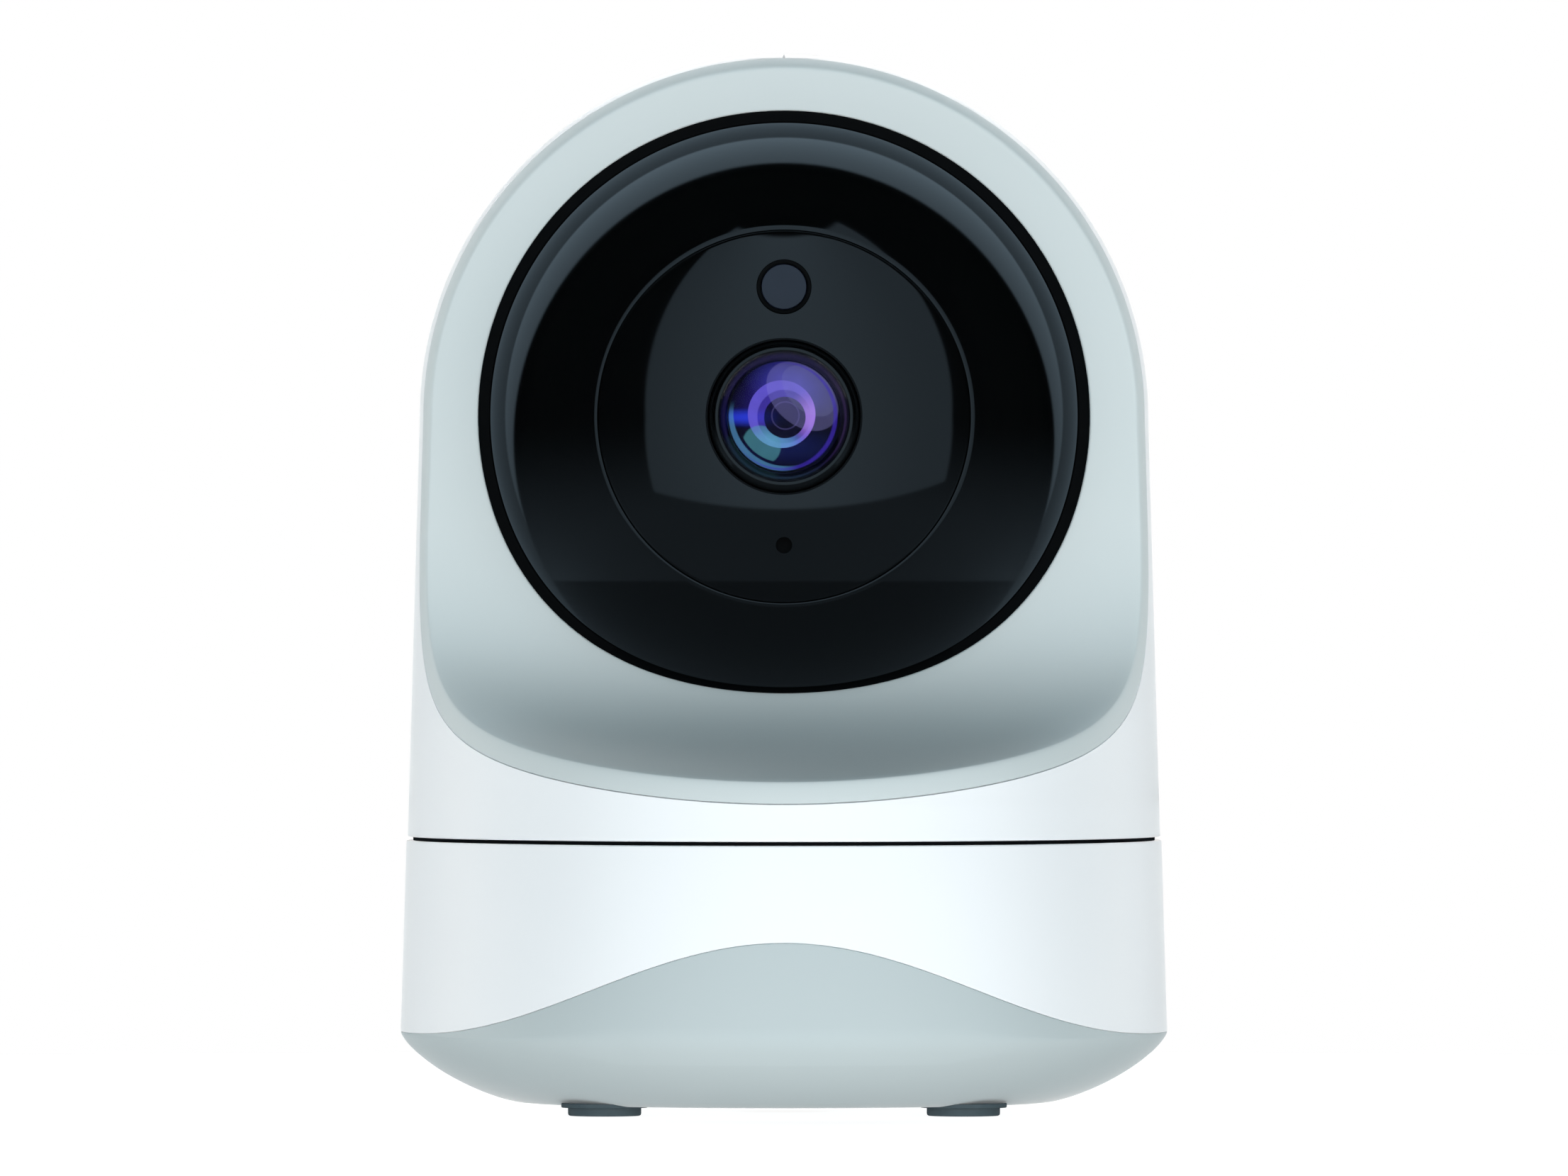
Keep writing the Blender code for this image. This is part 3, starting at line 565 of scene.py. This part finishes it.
def build_gasket():
    """Black ring set back in the bezel's opening, close around the ball."""
    inner, outer = BALL_RADIUS + 0.35, OPENING_RADIUS - 0.1
    front, back = BEZEL_THICKNESS - 0.6, -2.5
    chamfer = 0.2
    rows = []
    for offset, radius in ((back, inner), (front - chamfer, inner), (front, inner + chamfer),
                           (front, outer), (back, outer)):
        rows.append(ring_at(offset, reaches_of(offset, beyond_ball(radius))))
    bm = bmesh.new()
    add_grid(bm, rows, wrap_rows=True)
    make_piece("gasket", bm, MATS["gasket"], "turret", ["ball_gasket"])


def hood_rows(inset, steps_above, steps_below):
    """Rows of points from the hood's foot to its top, open at the front above the scoop.

    Each row runs from the front edge round the back to the front edge again.
    """
    def profile(length):
        """Point of the outline by its length above the ball's centre."""
        if length <= 0:
            return hood_radius(length, inset), length
        angle = length / (DOME_RISE - inset)
        return ((HOOD_RADIUS - inset) * math.cos(angle), (DOME_RISE - inset) * math.sin(angle))

    ups = LINE.points[:, 1] - PARTING * LINE.normals[:, 1]
    forwards = LINE.points[:, 0] - PARTING * LINE.normals[:, 0]

    def open_angle(length):
        """Angle from the front at which the hood begins, at this length."""
        radius, up = profile(length)
        forward = np.interp(-up, -ups, forwards)
        return math.acos(max(-1.0, min(1.0, forward / max(radius, 1e-9))))

    foot = HOOD_BOTTOM - BALL_HEIGHT
    crown = (DOME_RISE - inset) * math.pi / 2
    start = last_before(foot, 0.0, lambda length: open_angle(length) >= 1e-9)
    end = last_before(0.0, crown, lambda length: open_angle(length) > math.pi - 1e-9)
    lengths = [foot + (start - foot) * k / steps_below for k in range(steps_below)]
    lengths += [start + (end - start) * 0.5 * (1 - math.cos(math.pi * k / steps_above))
                for k in range(steps_above + 1)]
    half_turn = 96                       # steps from the front to the back
    rows = []
    for length in lengths:
        radius, up = profile(length)
        first = open_angle(length) if length > start else 0.0
        angles = [first + (math.pi - first) * k / half_turn for k in range(half_turn + 1)]
        angles += [2 * math.pi - a for a in reversed(angles[:-1])]
        rows.append([(radius * math.sin(a), -radius * math.cos(a), BALL_HEIGHT + up)
                     for a in angles])
    return rows


def build_hood():
    """White dome: outer and inner skins joined along the foot and along the parting edge."""
    below_scoop = 10
    outer, inner = (hood_rows(inset, 150, below_scoop) for inset in (0, WALL))
    chamfer = 0.15
    radius = HOOD_BOTTOM_RADIUS
    foot = []
    for inset, rise in ((WALL, chamfer), (WALL - chamfer, 0), (chamfer, 0), (0.04, 0.06)):
        foot.append([(x * (radius - inset) / radius, y * (radius - inset) / radius,
                      z + rise) for x, y, z in outer[0]])
    outer[0] = [(x, y, z + chamfer) for x, y, z in outer[0]]
    inner[0] = foot[0]
    bm = bmesh.new()
    rows = list(reversed(inner)) + foot[1:] + outer
    grid = add_grid(bm, rows, wrap_columns=False)
    count = len(inner)
    last = len(rows) - 1
    for i in range(count - below_scoop - 1):
        for side in (0, -1):
            corners = (grid[i][side], grid[i + 1][side],
                       grid[last - i - 1][side], grid[last - i][side])
            if len({corner.co.to_tuple(6) for corner in corners}) > 2:
                bm.faces.new(corners)
    return make_piece("hood", bm, MATS["white_plastic"], "turret", ["hood_shell"],
                      50)


def build_speaker_slots(hood):
    """Nine upright slots with round ends through the back of the hood."""
    pitch, half_width = 2.4, 0.6
    low, high = 34.7 + half_width, 41.7 - half_width
    turns = [(half_width * math.cos(a), half_width * math.sin(a))
             for a in np.radians(np.linspace(0, 180, 9))]

    def fill(bm):
        for x in [pitch * k for k in range(-4, 5)]:
            outline = [(x + u, high + v) for u, v in turns] + [(x - u, low - v) for u, v in turns]
            add_prism(bm, outline, -45, -30)
    cut_with(hood, fill)


# ---- base -------------------------------------------------------------------------------
def wave_rows(section, segments=256):
    """Rows of a section that depends on the angle, turned about the pan axis."""
    angles = [2 * math.pi * k / segments for k in range(segments)]
    sections = [section(a) for a in angles]
    return [[(sections[k][i][0] * math.cos(a), sections[k][i][0] * math.sin(a),
              sections[k][i][1]) for k, a in enumerate(angles)]
            for i in range(len(sections[0]))]


def build_housing():
    """White ring wall and top, with a round groove under the turret."""
    gap = 0.02
    lip, lip_height = 1.0, 1.6           # the tray's rim stands inside this step
    bore, groove_start, groove_end, groove_depth = 11.0, 12.0, 16.0, 0.8

    def section(angle):
        edge = wave(angle) + gap
        corners = [(side_radius(edge), edge, 0.08), (side_radius(edge) - lip, edge, 0),
                   (side_radius(edge) - lip, edge + lip_height, 0),
                   (side_radius(edge) - WALL, edge + lip_height, 0),
                   (side_radius(BASE_TOP) - WALL, BASE_TOP - WALL, 0),
                   (bore, BASE_TOP - WALL, 0), (bore, BASE_TOP, 0.3),
                   (groove_start, BASE_TOP, 0), (groove_start, BASE_TOP - groove_depth, 0),
                   (groove_end, BASE_TOP - groove_depth, 0), (groove_end, BASE_TOP, 0),
                   (side_radius(BASE_TOP), BASE_TOP, 0.2)]
        return rounded(corners, closed=True)
    bm = bmesh.new()
    add_grid(bm, wave_rows(section), wrap_rows=True)
    make_piece("housing", bm, MATS["white_plastic"], "base", ["base_housing"])


def build_dust_seal():
    """Felt ring that closes the seam under the hood."""
    inner, outer = 36.0, 38.7
    low, top = BASE_TOP - 0.2, HOOD_BOTTOM - 0.04
    ring = rounded([(inner, low, 0), (outer, low, 0), (outer, top, 0.1), (inner, top, 0.1)],
                   closed=True)
    lathe("dust_seal", ring, MATS["gasket"], "base", (), 192)


def build_tray():
    """Grey bowl with a wavy edge, round the tripod insert, with its two openings behind."""
    seat = INSERT_HIGH.x + 0.15
    boss = 7.4                           # collar round the insert
    floor_top, slope_start, slope_end, slope_top = 3.2, 22.0, 28.0, 3.9
    rim_inset, rim_height = 0.9, 1.4     # the rim stands inside the housing's step

    def section(angle):
        edge = wave(angle)
        outer = side_radius(edge)
        soft = min(1.0, (edge - WAIST) / 6)
        bowl = [(*bowl_point(k / 30 * (1 - 0.3 * soft)), 0) for k in range(30)]
        corners = ([(seat, FLOOR_HEIGHT, 0.25)] + bowl
                   + [(BASE_RADIUS - 0.06, WAIST - 0.25, 0.06 + 3.0 * soft),
                      (outer, edge, 0.15),
                      (outer - rim_inset, edge, 0), (outer - rim_inset, edge + rim_height, 0),
                      (outer - WALL, edge + rim_height, 0), (BASE_RADIUS - WALL, WAIST, 0),
                      (slope_end, slope_top, 0), (slope_start, floor_top, 0),
                      (boss, floor_top, 0.4), (boss, INSERT_HIGH.z, 0.2),
                      (seat, INSERT_HIGH.z, 0.2)])
        return rounded(corners, closed=True)
    bm = bmesh.new()
    add_grid(bm, wave_rows(section), wrap_rows=True)
    # the tray's grey is the bezel's grey with painted shade
    tray = make_piece("tray", bm, MATS["grey_plastic_painted_shade"], "base", ["base_tray"])
    power, reset = ((low + high) / 2 for low, high in
                    (node_box("power_socket"), node_box("reset_button")))
    reset_radius = 1.5

    def fill(bm):
        add_prism(bm, rounded_box(0, power.z, 4.3, 1.9, 1.3), -45, -33)
        add_lathe(bm, [(0, -45), (reset_radius, -45), (reset_radius, -33), (0, -33)], 32,
                  Matrix.Translation((reset.x, 0, reset.z)) @ FRONT)
    cut_with(tray, fill)


def build_feet():
    """Rubber plugs: a round pad under a wider flange that is let into the bowl."""
    flange = 0.7
    under, top = FLOOR_HEIGHT - 0.15, FLOOR_HEIGHT + 0.28
    for side, (low, high) in FEET.items():
        centre = Vector(((low.x + high.x) / 2, (low.y + high.y) / 2, 0))
        radius = (high.x - low.x) / 2
        profile = rounded([(0, 0.12, 0), (radius - 1.0, 0.12, 0.2), (radius - 0.8, 0.0, 0.1),
                           (radius, 0.0, 0.3), (radius, under, 0.05),
                           (radius + flange, under, 0.15), (radius + flange, top, 0),
                           (0, top, 0)])
        lathe("pad_" + side, profile, MATS["foot_rubber"], "base", ["foot_" + side],
              64, Matrix.Translation(centre))


# ---- head -------------------------------------------------------------------------------
def build_ball():
    """Glossy ball in two halves, with the card slot low in the front one."""
    rim = degrees_at(FACE_RADIUS + SEAM, BALL_RADIUS)
    soft = 0.45                          # degrees of the bevel along the rim
    inner = BALL_RADIUS - WALL
    outline = arc(BALL_RADIUS, rim + soft, 89.8, 90)
    bevel = arc(BALL_RADIUS - 0.12, rim, rim, 1)[:1]
    ledge_radius, ledge_front, ledge_back = 17.2, 21.2, 19.6     # the face rests on it
    wall = [(FACE_RADIUS + SEAM, BALL_RADIUS * math.cos(math.radians(rim)) - 1.8),
            (ledge_radius, ledge_front), (ledge_radius, ledge_back)]
    back = arc(inner, 48, 89.8, 20)
    profile = bevel + outline + back[::-1] + wall[::-1]
    front = lathe("ball_front", profile, MATS["black_gloss"], "head", ["ball_front_shell"],
                  256, HEAD)

    def fill(bm):
        add_prism(bm, rounded_box(0, 0, 6.5, 0.7, 0.5), 26, 34,
                  HEAD @ Matrix.Rotation(CARD_ANGLE, 4, "X"))
    cut_with(front, fill)
    rear = (arc(BALL_RADIUS, 90.2, 180, 60)[:-1] + [(0, -BALL_RADIUS), (0, -inner)]
            + arc(inner, 180, 90.2, 30)[1:])
    rows = lathe_rows(rear, 192)
    bm = bmesh.new()
    add_grid(bm, rows, wrap_rows=True, place=HEAD)
    bmesh.ops.dissolve_degenerate(bm, dist=1e-6, edges=bm.edges)
    make_piece("ball_rear", bm, MATS["black_gloss"], "head", ["ball_rear_shell"])


def build_face():
    """Glossy cap with holes for the lens, the infrared window and the microphone."""
    hole = degrees_at(LENS_HOLE_RADIUS, BALL_RADIUS)
    edge = degrees_at(FACE_RADIUS, BALL_RADIUS)
    inner = BALL_RADIUS - WALL
    hole_soft, edge_soft = 0.3, 0.35     # degrees of the bevels
    profile = (arc(BALL_RADIUS, hole + hole_soft, edge - edge_soft, 48)
               + arc(BALL_RADIUS - 0.1, edge, edge, 1)[:1]
               + arc(inner, degrees_at(FACE_RADIUS, inner),
                     degrees_at(LENS_HOLE_RADIUS, inner), 12)
               + arc(BALL_RADIUS - 0.15, hole, hole, 1)[:1])
    face = lathe("face", profile, MATS["black_gloss"], "head", ["face_plate"],
                 256, HEAD)
    window_place, microphone_place = (
        HEAD @ Matrix.Translation((0, (low.z + high.z) / 2 - BALL_HEIGHT, 0))
        for low, high in (node_box("infrared_window"), node_box("microphone")))

    def fill(bm):
        for radius, segments, place in ((WINDOW_RADIUS, 64, window_place),
                                        (MICROPHONE_RADIUS, 40, microphone_place)):
            add_lathe(bm, [(0, 20), (radius, 20), (radius, 35), (0, 35)], segments, place)
    cut_with(face, fill)
    glass_radius, rim_radius, cloth_radius = 2.38, 2.82, 1.5
    rim = rounded([(2.4, 26.3, 0), (rim_radius, 26.3, 0), (rim_radius, 28.15, 0.15),
                   (2.4, 28.0, 0.15)], closed=True)
    lathe("window_rim", rim, MATS["gasket"], "head", (), 96, window_place)
    cloth = rounded([(0, 26.6, 0), (cloth_radius, 26.6, 0), (cloth_radius, 27.2, 0.1),
                     (0, 27.1, 0)])
    lathe("microphone_cloth", cloth, MATS["gasket"], "head", (), 48,
          microphone_place)
    glass = rounded([(0, 26.4, 0), (glass_radius, 26.4, 0), (glass_radius, 27.75, 0.15),
                     (0, 27.9, 0)])
    lathe("window_glass", glass, MATS["infrared_window"], "head", ["infrared_window"],
          96, window_place)


def build_lens():
    """Raised ring round a domed front glass."""
    bore, outer, back, crest = LENS_BORE_RADIUS, 7.8, 27.6, 30.7
    ring = rounded([(bore, back, 0), (outer, back, 0), (outer, 29.7, 0.1), (7.12, crest, 0.3),
                    (6.8, crest, 0.3), (bore, 29.2, 0.1)], closed=True, steps=7)
    lathe("lens_surround", ring, MATS["black_gloss"], "head", ["lens_ring"],
          192, HEAD)
    low, high = node_box("front_lens")
    radius = (high.x - low.x) / 2
    dome = 13.0                          # radius of the glass's curve
    glass_back, glass_top = 28.9, 30.5
    top = [(r, h - dome + glass_top) for r, h in arc(dome, degrees_at(radius, dome), 0, 24)]
    glass = [(0, glass_back), (radius, glass_back)] + top[:-1] + [(0, glass_top)]
    lathe("lens_front", glass, MATS["lens_glass"], "head", ["front_lens"], 128,
          HEAD)


# ---- stage ------------------------------------------------------------------------------
def build_lens_art():
    """Glass element deep in the lens that glows: rings and streaks with painted reflections and
    painted highlights.
    """
    radius = LENS_BORE_RADIUS
    depth = 28.6
    # glowing material that carries the painted reflections and painted highlights
    material = Material("lens_painted_reflections", (4, 3, 14), 0.08, IOR=1.1, Emission_Strength=1.0)
    axes = material.add("ShaderNodeSeparateXYZ")
    material.link(material.coordinates, axes.inputs[0])
    unit = 0.97 * MM                     # the marks below are drawn in this unit
    across = material.math("DIVIDE", axes.outputs[0], unit)
    up = material.math("DIVIDE", material.math("SUBTRACT", axes.outputs[2],
                                               BALL_HEIGHT * MM), unit)

    def disc(x, y, width, height, turn=0.0, soft=0.05):
        """One inside an ellipse, fading to nothing over its soft edge."""
        cosine, sine = math.cos(math.radians(turn)), math.sin(math.radians(turn))
        u = material.math("SUBTRACT", across, x)
        v = material.math("SUBTRACT", up, y)
        along = material.math("MULTIPLY_ADD", u, cosine, material.math("MULTIPLY", v, sine))
        aside = material.math("MULTIPLY_ADD", v, cosine, material.math("MULTIPLY", u, -sine))
        far = material.math("SQRT", material.math(
            "ADD", material.math("POWER", material.math("DIVIDE", along, width), 2.0),
            material.math("POWER", material.math("DIVIDE", aside, height), 2.0)))
        return material.ramp(far, 1.0 + soft, 1.0 - soft)

    def both(first, second):
        return material.math("MULTIPLY", first, second)

    def without(first, second):
        return both(first, material.math("SUBTRACT", 1.0, second))

    def lay(colour, share, strength, rgb):
        return material.tint(both(share, strength), colour, colour_of(rgb))

    # painted light: the layers below paint the lens's reflections and highlights into its glow
    colour = lay(colour_of((2, 1, 6)), disc(-0.9, 2.6, 3.3, 2.0, 35, 0.9), 0.42, (50, 34, 158))
    colour = lay(colour, disc(0.9, 3.2, 3.2, 1.9, -20, 0.9), 0.5, (66, 68, 190))
    colour = lay(colour, disc(0.4, -3.2, 4.0, 1.5, 0, 0.9), 0.5, (18, 26, 92))
    colour = lay(colour, disc(-3.7, -0.1, 3.6, 0.6, 0, 0.97), 0.75, (40, 60, 226))
    element = disc(-0.25, 0.25, 3.55, 3.55, 0, 0.012)
    ring = without(element, disc(0.08, -0.1, 2.18, 2.18, 0, 0.02))
    colour = lay(colour, ring, 0.62, (70, 54, 170))
    bright = without(element, disc(0.0, 0.0, 2.8, 2.8, 0, 0.03))
    colour = lay(colour, bright, 0.7, (104, 92, 214))
    colour = lay(colour, both(ring, disc(3.0, 0.0, 1.6, 1.9, 0, 0.8)), 0.85, (170, 124, 230))
    colour = lay(colour, both(ring, disc(-1.2, -3.4, 2.8, 1.8, 0, 0.5)), 0.7, (96, 160, 206))
    pupil = disc(0.08, -0.1, 2.16, 2.16, 0, 0.02)
    colour = lay(colour, pupil, 0.88, (6, 4, 26))
    inner = without(disc(0.15, 0.1, 1.5, 1.5, 0, 0.03), disc(0.15, 0.1, 1.36, 1.36, 0, 0.03))
    colour = lay(colour, inner, 0.35, (90, 84, 150))
    colour = lay(colour, disc(0.1, -0.15, 0.9, 0.8, 0, 0.4), 0.6, (4, 4, 16))
    # painted highlight: pale ellipse of a reflected light, with a second one inside it
    painted_highlight = disc(1.95, 2.15, 4.35, 3.0, -42, 0.02)
    colour = lay(colour, painted_highlight, 0.17, (150, 146, 222))
    second = both(disc(2.6, 2.7, 3.3, 2.1, -42, 0.02), painted_highlight)
    colour = lay(colour, second, 0.1, (150, 156, 206))
    # painted reflection: teal patch low on the left
    painted_reflection_patch = without(disc(0.0, 0.0, 4.85, 4.85, 0, 0.012), disc(0.0, 0.0, 2.2, 2.2, 0, 0.03))
    painted_reflection_patch = both(painted_reflection_patch, disc(-2.35, -3.0, 1.95, 2.1, 40, 0.06))
    colour = lay(colour, painted_reflection_patch, 0.42, (84, 156, 170))
    # painted reflections along the element's rims
    painted_crescent_reflection = without(disc(-0.1, 0.0, 5.75, 5.75, 0, 0.01), disc(0.25, 0.35, 5.6, 5.6, 0, 0.012))
    colour = lay(colour, both(painted_crescent_reflection, disc(-3.6, -3.6, 5.0, 3.6, -45, 0.25)), 0.6,
                 (78, 134, 180))
    painted_far_rim_reflection = without(disc(-0.05, 0.0, 5.7, 5.7, 0, 0.012),
                      disc(-0.32, 0.12, 5.55, 5.55, 0, 0.02))
    colour = lay(colour, painted_far_rim_reflection, 0.6, (60, 40, 170))
    outside = material.math("SUBTRACT", 1.0, disc(0, 0, radius, radius, 0, 0.015))
    colour = lay(colour, outside, 0.95, (5, 6, 9))
    grain = material.ramp(material.noise(900, 2.0), 0.3, 0.7, 0.92, 1.0)
    # the painted colours glow, so the element shines though it is no lamp
    material.link(colour, material.shader.inputs["Emission Color"])
    material.link(grain, material.shader.inputs["Emission Strength"])
    material.relief(1500, 0.02)
    profile = [(0, depth - 0.4), (radius, depth - 0.4), (radius, depth - 0.1),
               (radius * 0.5, depth - 0.02), (0, depth)]
    lathe("lens_element", profile, material.material, "head", (), 96, HEAD)


def build_floor():
    """White disc under the part, bright by itself, which casts no light on the plastic."""
    radius, thickness = 260, 2.0
    floor_material = Material("floor", (120, 122, 123), 0.7, Specular_IOR_Level=0.0,
                              Emission_Color=(1, 1, 1, 1), Emission_Strength=0.93)
    floor_material.vary_colour(3, (118, 120, 121)).vary_roughness(8, 0.05)
    floor = lathe("floor", [(0, -thickness), (radius, -thickness), (radius, 0.0), (0, 0.0)],
                  floor_material.material, None, segments=96,
                  place=Matrix.Translation((0, 0, -0.02)))
    floor.visible_diffuse = False


def add_camera():
    """Long lens straight in front, at the ball's height, aimed at the middle of the part."""
    data = bpy.data.cameras.new("camera")
    data.sensor_width = 36.0
    data.lens = 616.0
    data.clip_end = 20
    camera = bpy.data.objects.new("camera", data)
    bpy.context.scene.collection.objects.link(camera)
    eye, target = Vector((0, -2.8, BALL_HEIGHT * MM)), Vector((0, 0, BALL_HEIGHT * MM - 0.0179))
    camera.location = eye
    camera.rotation_euler = (target - eye).to_track_quat("-Z", "Y").to_euler()
    bpy.context.scene.camera = camera


def build_world():
    """Plain studio: white to the camera, soft light on the plastic, panels in reflections."""
    world = bpy.data.worlds.new("studio")
    bpy.context.scene.world = world
    world.use_nodes = True
    world.cycles.sampling_method = "NONE"
    nodes = Nodes(world.node_tree)
    background = world.node_tree.nodes["Background"]
    axes = nodes.add("ShaderNodeSeparateXYZ")
    nodes.link(nodes.add("ShaderNodeTexCoord").outputs["Generated"], axes.inputs[0])
    side = nodes.math("ABSOLUTE", axes.outputs[0])
    front = nodes.math("MULTIPLY", axes.outputs[1], -1.0)
    up = axes.outputs[2]
    turn = nodes.math("ARCTAN2", side, front)
    rise = nodes.math("ARCSINE", up)
    across = nodes.math("SQRT", nodes.math("MAXIMUM", 0.001, nodes.math(
        "SUBTRACT", 1.0, nodes.math("MULTIPLY", front, front))))
    upness = nodes.math("DIVIDE", up, across)

    # what the gloss shows: a panel in front, darkness beside it, a bright rim behind
    panel_turn, panel_half_width, panel_flare = 0.116, 1.08, 0.06
    panel_top, panel_bottom, panel_edge = 1.29, -0.49, 0.015
    off_centre = nodes.math("ABSOLUTE", nodes.math("SUBTRACT", nodes.math(
        "ARCTAN2", axes.outputs[0], front), panel_turn))
    flare = nodes.math("MULTIPLY_ADD", nodes.math("ABSOLUTE", up), panel_flare,
                       panel_half_width)
    beside = nodes.math("SUBTRACT", off_centre, flare)
    lowness = nodes.math("DIVIDE", up, nodes.math("MAXIMUM", 0.05, nodes.math(
        "ADD", front, 0.395)))
    panel = nodes.math(
        "MULTIPLY", nodes.ramp(beside, panel_edge, -panel_edge), nodes.math(
            "MULTIPLY", nodes.ramp(lowness, panel_bottom - panel_edge, panel_bottom + panel_edge),
            nodes.ramp(rise, panel_top + 0.02, panel_top - 0.02)))
    panel_light = nodes.ramp(turn, 0.1, 1.2, 0.66, 0.42)
    lowest = nodes.math("DIVIDE", up, nodes.math("SQRT", nodes.math(
        "MAXIMUM", 0.02, nodes.math("MULTIPLY_ADD", front, 2.0, 2.0))))
    table_light, under_light, under_start = 0.165, 0.07, -0.552
    below = nodes.ramp(rise, 0.0, -0.62, 0.0, table_light)
    below = nodes.blend(nodes.ramp(lowest, under_start + 0.005, under_start - 0.005), below,
                        under_light)
    rim_start = nodes.math("SUBTRACT", -0.45, nodes.math("MULTIPLY", 0.19, nodes.math(
        "POWER", nodes.math("SUBTRACT", 1.0, upness), 1.46)))
    in_rim = nodes.ramp(nodes.math("SUBTRACT", front, rim_start), 0.02, -0.02)
    rim_light = nodes.math("MULTIPLY_ADD", upness, 0.3, 0.34)
    behind_light = nodes.math("MULTIPLY_ADD", upness, 0.05, 0.14)
    rim = nodes.blend(nodes.ramp(front, -0.745, -0.765), rim_light, behind_light)
    glossy = nodes.blend(in_rim, below, rim)
    glossy = nodes.blend(panel, glossy, panel_light)

    # what the plastic is lit by
    facing = nodes.math("MULTIPLY_ADD", front, math.cos(LIGHT_TURN), nodes.math(
        "MULTIPLY", axes.outputs[0], math.sin(LIGHT_TURN)))
    diffuse = nodes.ramp(facing, 0.38, 0.9, 0.0, FRONT_LIGHT)
    diffuse = nodes.blend(nodes.ramp(up, 0.0, 0.6), diffuse, TOP_LIGHT)
    ring = nodes.ramp(facing, -0.72, -0.78, BACK_LIGHT, BACK_CORE_LIGHT)
    diffuse = nodes.blend(nodes.ramp(facing, -0.43, -0.6), diffuse, ring)
    diffuse = nodes.blend(nodes.ramp(up, -0.1, -0.35), diffuse, FLOOR_LIGHT)

    # strength and tint by the kind of ray
    path = nodes.add("ShaderNodeLightPath")
    strength = nodes.blend(path.outputs["Is Glossy Ray"], diffuse, glossy)
    strength = nodes.blend(path.outputs["Is Camera Ray"], strength, 1.0)
    above = nodes.math("MULTIPLY", nodes.ramp(up, 0.02, 0.42), nodes.ramp(facing, -0.4, 0.0))
    colour = nodes.tint(nodes.ramp(facing, -0.4, 0.3), (1.02, 1.0, 0.98, 1),
                        (1.13, 1.01, 0.95, 1))
    colour = nodes.tint(above, colour, (0.22, 0.78, 1.04, 1))
    colour = nodes.tint(nodes.ramp(up, -0.1, -0.35), colour, (0.93, 1.0, 1.02, 1))
    colour = nodes.tint(path.outputs["Is Glossy Ray"], colour, (0.74, 1.02, 1.24, 1))
    colour = nodes.tint(path.outputs["Is Camera Ray"], colour, (1, 1, 1, 1))
    nodes.link(strength, background.inputs["Strength"])
    nodes.link(colour, background.inputs["Color"])


def show_ball_the_studio():
    """Keep what surrounds the ball out of its reflections, which show the studio only."""
    for item in bpy.context.scene.objects:
        if item.type == "MESH" and item.parent != frame["bodies"]["head"]:
            item.visible_glossy = False


def set_view():
    view = bpy.context.scene.view_settings
    view.view_transform = "Standard"
    view.look = "None"


dress_frame()
build_bezel()
build_gasket()
hood = build_hood()
build_speaker_slots(hood)
build_housing()
build_dust_seal()
build_tray()
build_feet()
build_ball()
build_face()
build_lens()
build_lens_art()
build_floor()
show_ball_the_studio()
build_world()
add_camera()
set_view()
